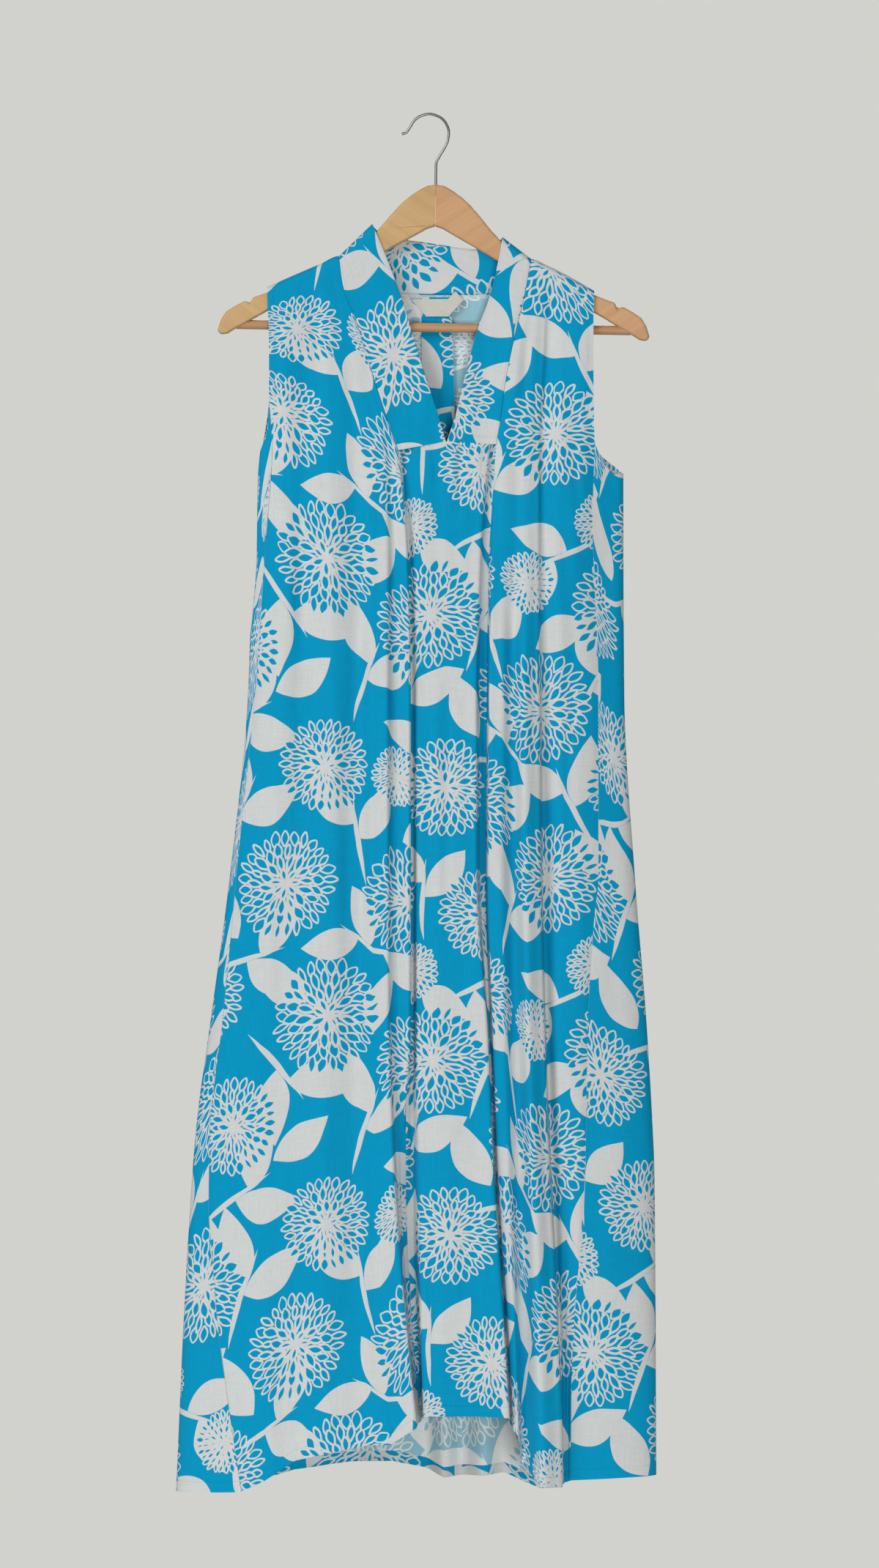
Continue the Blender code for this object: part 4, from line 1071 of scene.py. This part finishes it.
def build_band(name, grid, side, offset, hangs_from):
    """A band of doubled cloth, rounded and stitched along both edges. In front it is stitched across its foot too."""
    for row in grid:
        along = lengths(row)
        for i, point in enumerate(row):
            point.y -= side.facing * (rounded(along[i]) + rounded(along[-1] - along[i]))
    sheet = Sheet(grid, len(grid[0]) // 2)
    layers = {
        "edge": paired(sheet.from_foot, sheet.from_right),
        "seam": paired(sheet.from_left, sheet.from_left),
    }
    stitches = [("edge", "Y", BAND_STITCH, "Y"), ("seam", "X", BAND_STITCH, "Y")]
    if side is FRONT:
        stitches.append(("edge", "X", BAND_FOOT_STITCH, "X"))
    build_printed(name, sheet, BAND, (0, side.facing, 0), offset, stitches, layers, hangs_from)


def neckband(name, seam_name, edge_points, offset, hangs_from):
    """One half of the neckband, from its seam with the front panel to its free inner edge."""
    seam = seam_line(seam_name)
    edge = curve(edge_points)
    edge_top = edge_points[0][0]
    edge_foot = edge_points[-1][0]
    heights = [seam.top - d for d in RIDGE_ROWS]
    heights += [mix(heights[-1], seam.join, i / BAND_ROWS) for i in range(1, BAND_ROWS + 1)]
    grid = []
    for z in heights:
        edge_z = mix(edge_top, edge_foot, (seam.top - z) / (seam.top - seam.join))
        x = seam.across(z)
        edge_x = edge(edge_z)
        outer = Vector((x, front_y(x, z, 0, seam.top - z), z))
        inner = Vector((edge_x, front_y(edge_x, edge_z, 0, edge_top - edge_z), edge_z))
        row = [outer.lerp(inner, share) for share in band_shares()]
        for point in row:
            point.y -= hanging(point.x, point.z, FRONT)
        grid.append(row)
    build_band(name, grid, FRONT, offset, hangs_from)


def standing_collar(name, offset, hangs_from):
    """The collar round the back of the neck, from shoulder to shoulder."""
    columns = [curve([(row[0], row[i]) for row in COLLAR]) for i in range(1, 5)]
    grid = []
    for c in range(COLLAR_FINE + 1):
        share = mix(c / COLLAR_FINE, ease(c / COLLAR_FINE), COLLAR_CROWDING)
        seam_x, seam_z, top_x, top_z = (read(share) for read in columns)
        seam = Vector((seam_x, 0, seam_z))
        edge = Vector((top_x, 0, top_z))
        start = seam + (edge - seam).normalized() * COLLAR_GAP
        below = COLLAR[0][2] - seam_z if share < 0.5 else COLLAR[-1][2] - seam_z
        below = max(below, min(share, 1 - share) * COLLAR_SHOULDER_SLOPE)
        row = [start.lerp(edge, up) for up in band_shares()]
        for point in row:
            point.y = max(RIDGE_HALF_GAP, back_depth(point.z) * ridge(below))
        grid.append(row)
    build_band(name, grid, BACK, offset, hangs_from)


def facing_strip(name, offset, hangs_from):
    """The strip down the inside of the centre back, right side towards the front, with a seam down its middle."""
    left = curve(STRIP_LEFT)
    right = curve(STRIP_RIGHT)

    def point_at(share, z):
        x = mix(left(z), right(z), share)
        on_back = back_y(x, z, 0, SHOULDER_ROUND) - SOLID_CLOTH - SOLID_SEAM_GAP - SOLID_STRIP
        off = (share - 0.5) / STRIP_SEAM_SHARE
        return Vector((x, on_back + STRIP_SEAM_DEPTH * math.exp(-off * off) + wave_at(STRIP_WAVE, x, z), z))

    heights = [mix(STRIP_TOP, STRIP_FOOT, r / STRIP_FINE) for r in range(STRIP_FINE + 1)]
    sheet = Sheet([[point_at(share, z) for share in STRIP_SHARES] for z in heights], len(STRIP_SHARES) // 2)
    build_printed(name, sheet, STRIP, (0, -1, 0), offset, [], {}, hangs_from)


def neck_label(name, finish, hangs_from):
    """A length of bare ribbon under the collar. Its right end is folded up over its face into the seam."""
    for part, outline, lift in (("ribbon", LABEL_OUTLINE, 0.0), ("fold", LABEL_FOLD, LABEL_LIFT)):
        top_left, low_left, low_right, top_right = (Vector(corner) for corner in outline)
        grid = []
        for down in (r / LABEL_ROWS for r in range(LABEL_ROWS + 1)):
            row = []
            for share in (c / LABEL_CELLS for c in range(LABEL_CELLS + 1)):
                x, z = top_left.lerp(low_left, down).lerp(top_right.lerp(low_right, down), share)
                bow = LABEL_BOW * math.sin(math.pi * share) * ease(down)
                row.append(Vector((x, LABEL_DEPTH - lift - bow, z)))
            grid.append(row)
        sheet = Sheet(grid, LABEL_CELLS // 2)
        sheet.build(name + "_" + part, name, RIBBON, (0, -1, 0), finish, finish, {}, hangs_from)


def wire_hook(name, finish, hook):
    """The bent wire of the hook, rounder than its solid."""
    wire = bpy.data.curves.new(name, "CURVE")
    wire.dimensions = "3D"
    wire.bevel_depth = WIRE_RADIUS * MM
    wire.bevel_resolution = WIRE_RESOLUTION
    wire.use_fill_caps = True
    along = lengths([Vector(point) for point in HOOK])
    across = curve(list(zip(along, [x for x, _ in HOOK])))
    height = curve(list(zip(along, [z for _, z in HOOK])))
    line = wire.splines.new("POLY")
    line.points.add(HOOK_STEPS)
    for i, point in enumerate(line.points):
        at = along[-1] * i / HOOK_STEPS
        point.co = ((SHAFT_X + across(at)) * MM, 0, height(at) * MM, 1.0)
    piece = new_object(name, wire)
    piece.data.materials.append(finish)
    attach(piece, "root")
    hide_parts(hook)


def paint(node, finish):
    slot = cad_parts[node].material_slots[0]
    slot.link = "OBJECT"
    slot.material = finish


def studio():
    """A pale floor, soft lights and the camera, level with the middle of the dress and well back from it."""
    floor, _, shader = new_material("floor")
    feed_named(shader, {"Base Color": FLOOR_COLOUR, "Roughness": 0.9})
    bpy.ops.mesh.primitive_plane_add(size=FLOOR_SIZE, location=(0, 0, FLOOR_HEIGHT))
    plane = bpy.context.object
    plane.name = "floor"
    plane.data.materials.append(floor)

    # The camera sees a brighter backdrop than the one that lights the dress.
    scene = bpy.context.scene
    scene.view_settings.view_transform = "Standard"
    scene.world = bpy.data.worlds.new("studio")
    scene.world.use_nodes = True
    tree = scene.world.node_tree
    seen = tree.nodes["Background"]
    feed_named(seen, {"Color": WALL_LIGHT})
    around = add_node(tree, "Background", (WALL_LIGHT, SOFT_LIGHT))
    to_camera = add_node(tree, "LightPath").outputs["Is Camera Ray"]
    either = add_node(tree, "MixShader", map(Field, (to_camera, around.outputs[0], seen.outputs[0])))
    feed_named(tree.nodes["World Output"], {"Surface": Field(either.outputs[0])})

    for name, place, size, power in LIGHTS:
        light = bpy.data.lights.new(name, "AREA")
        light.size = size
        light.energy = power
        lamp = new_object(name, light)
        lamp.location = place
        lamp.rotation_euler = (Vector(AIM) - lamp.location).to_track_quat("-Z", "Y").to_euler()

    lens = bpy.data.cameras.new("camera")
    lens.lens = LENS
    lens.sensor_width = SENSOR
    scene.camera = new_object("camera", lens)
    scene.camera.location = (PICTURE_CENTRE[0], FRONT_PLANE - PICTURE_HEIGHT * LENS / SENSOR, PICTURE_CENTRE[1])
    scene.camera.rotation_euler = (math.pi / 2, 0, 0)


flowers = print_group()

panel("front_left", ("left_side", "left_princess"), FRONT_LEFT, shoulder_height, FRONT, (0, 0), ["hanger_arm_left"])
panel("front_centre", ("left_princess", "right_princess"), FRONT_CENTRE, band_foot_height, FRONT, (150, 60),
      ["neckband_left_cloth", "neckband_right_cloth"])
panel("front_right", ("right_princess", "right_side"), FRONT_RIGHT, shoulder_height, FRONT, (40, 250),
      ["hanger_arm_right"])
side_panel("side_left", ("left_side", "left_back"), left_outline, LEFT_OUTLINE[-1][0], LEFT_ARMHOLE_FOOT, -1,
           (90, 20), ["front_left_cloth", "back_left_cloth"])
side_panel("side_right", ("right_side", "right_back"), right_outline, RIGHT_OUTLINE[-1][0], RIGHT_ARMHOLE_FOOT, 1,
           (210, 330), ["front_right_cloth", "back_right_cloth"])
panel("back_left", ("left_back", "centre_back"), BACK_LEFT, back_top, BACK, (20, 120), ["hanger_arm_left"])
panel("back_right", ("centre_back", "right_back"), BACK_RIGHT, back_top, BACK, (170, 40), ["hanger_arm_right"])
neckband("neckband_left", "left_princess", LEFT_BAND_EDGE, (60, 200), ["hanger_arm_left"])
neckband("neckband_right", "right_princess", RIGHT_BAND_EDGE, (250, 90), ["hanger_arm_right"])
standing_collar("collar_back", (110, 400), ["back_left_cloth", "back_right_cloth"])
facing_strip("back_facing", (190, 312), ["back_left_cloth", "back_right_cloth"])
neck_label("label", ribbon_material("bare ribbon"), ["back_facing_cloth"])

paint("hanger_arm_left", wood_material("left arm wood", (0.44, 0.27, 0.115), (0.56, 0.36, 0.165), -34))
paint("hanger_arm_right", wood_material("right arm wood", (0.45, 0.245, 0.112), (0.57, 0.335, 0.172), 34))
paint("hanger_bar", wood_material("bar wood", (0.38, 0.20, 0.095), (0.52, 0.295, 0.155), 0.9))
wire_hook("hook_wire", chrome_material("chrome wire"), "hook")

studio()
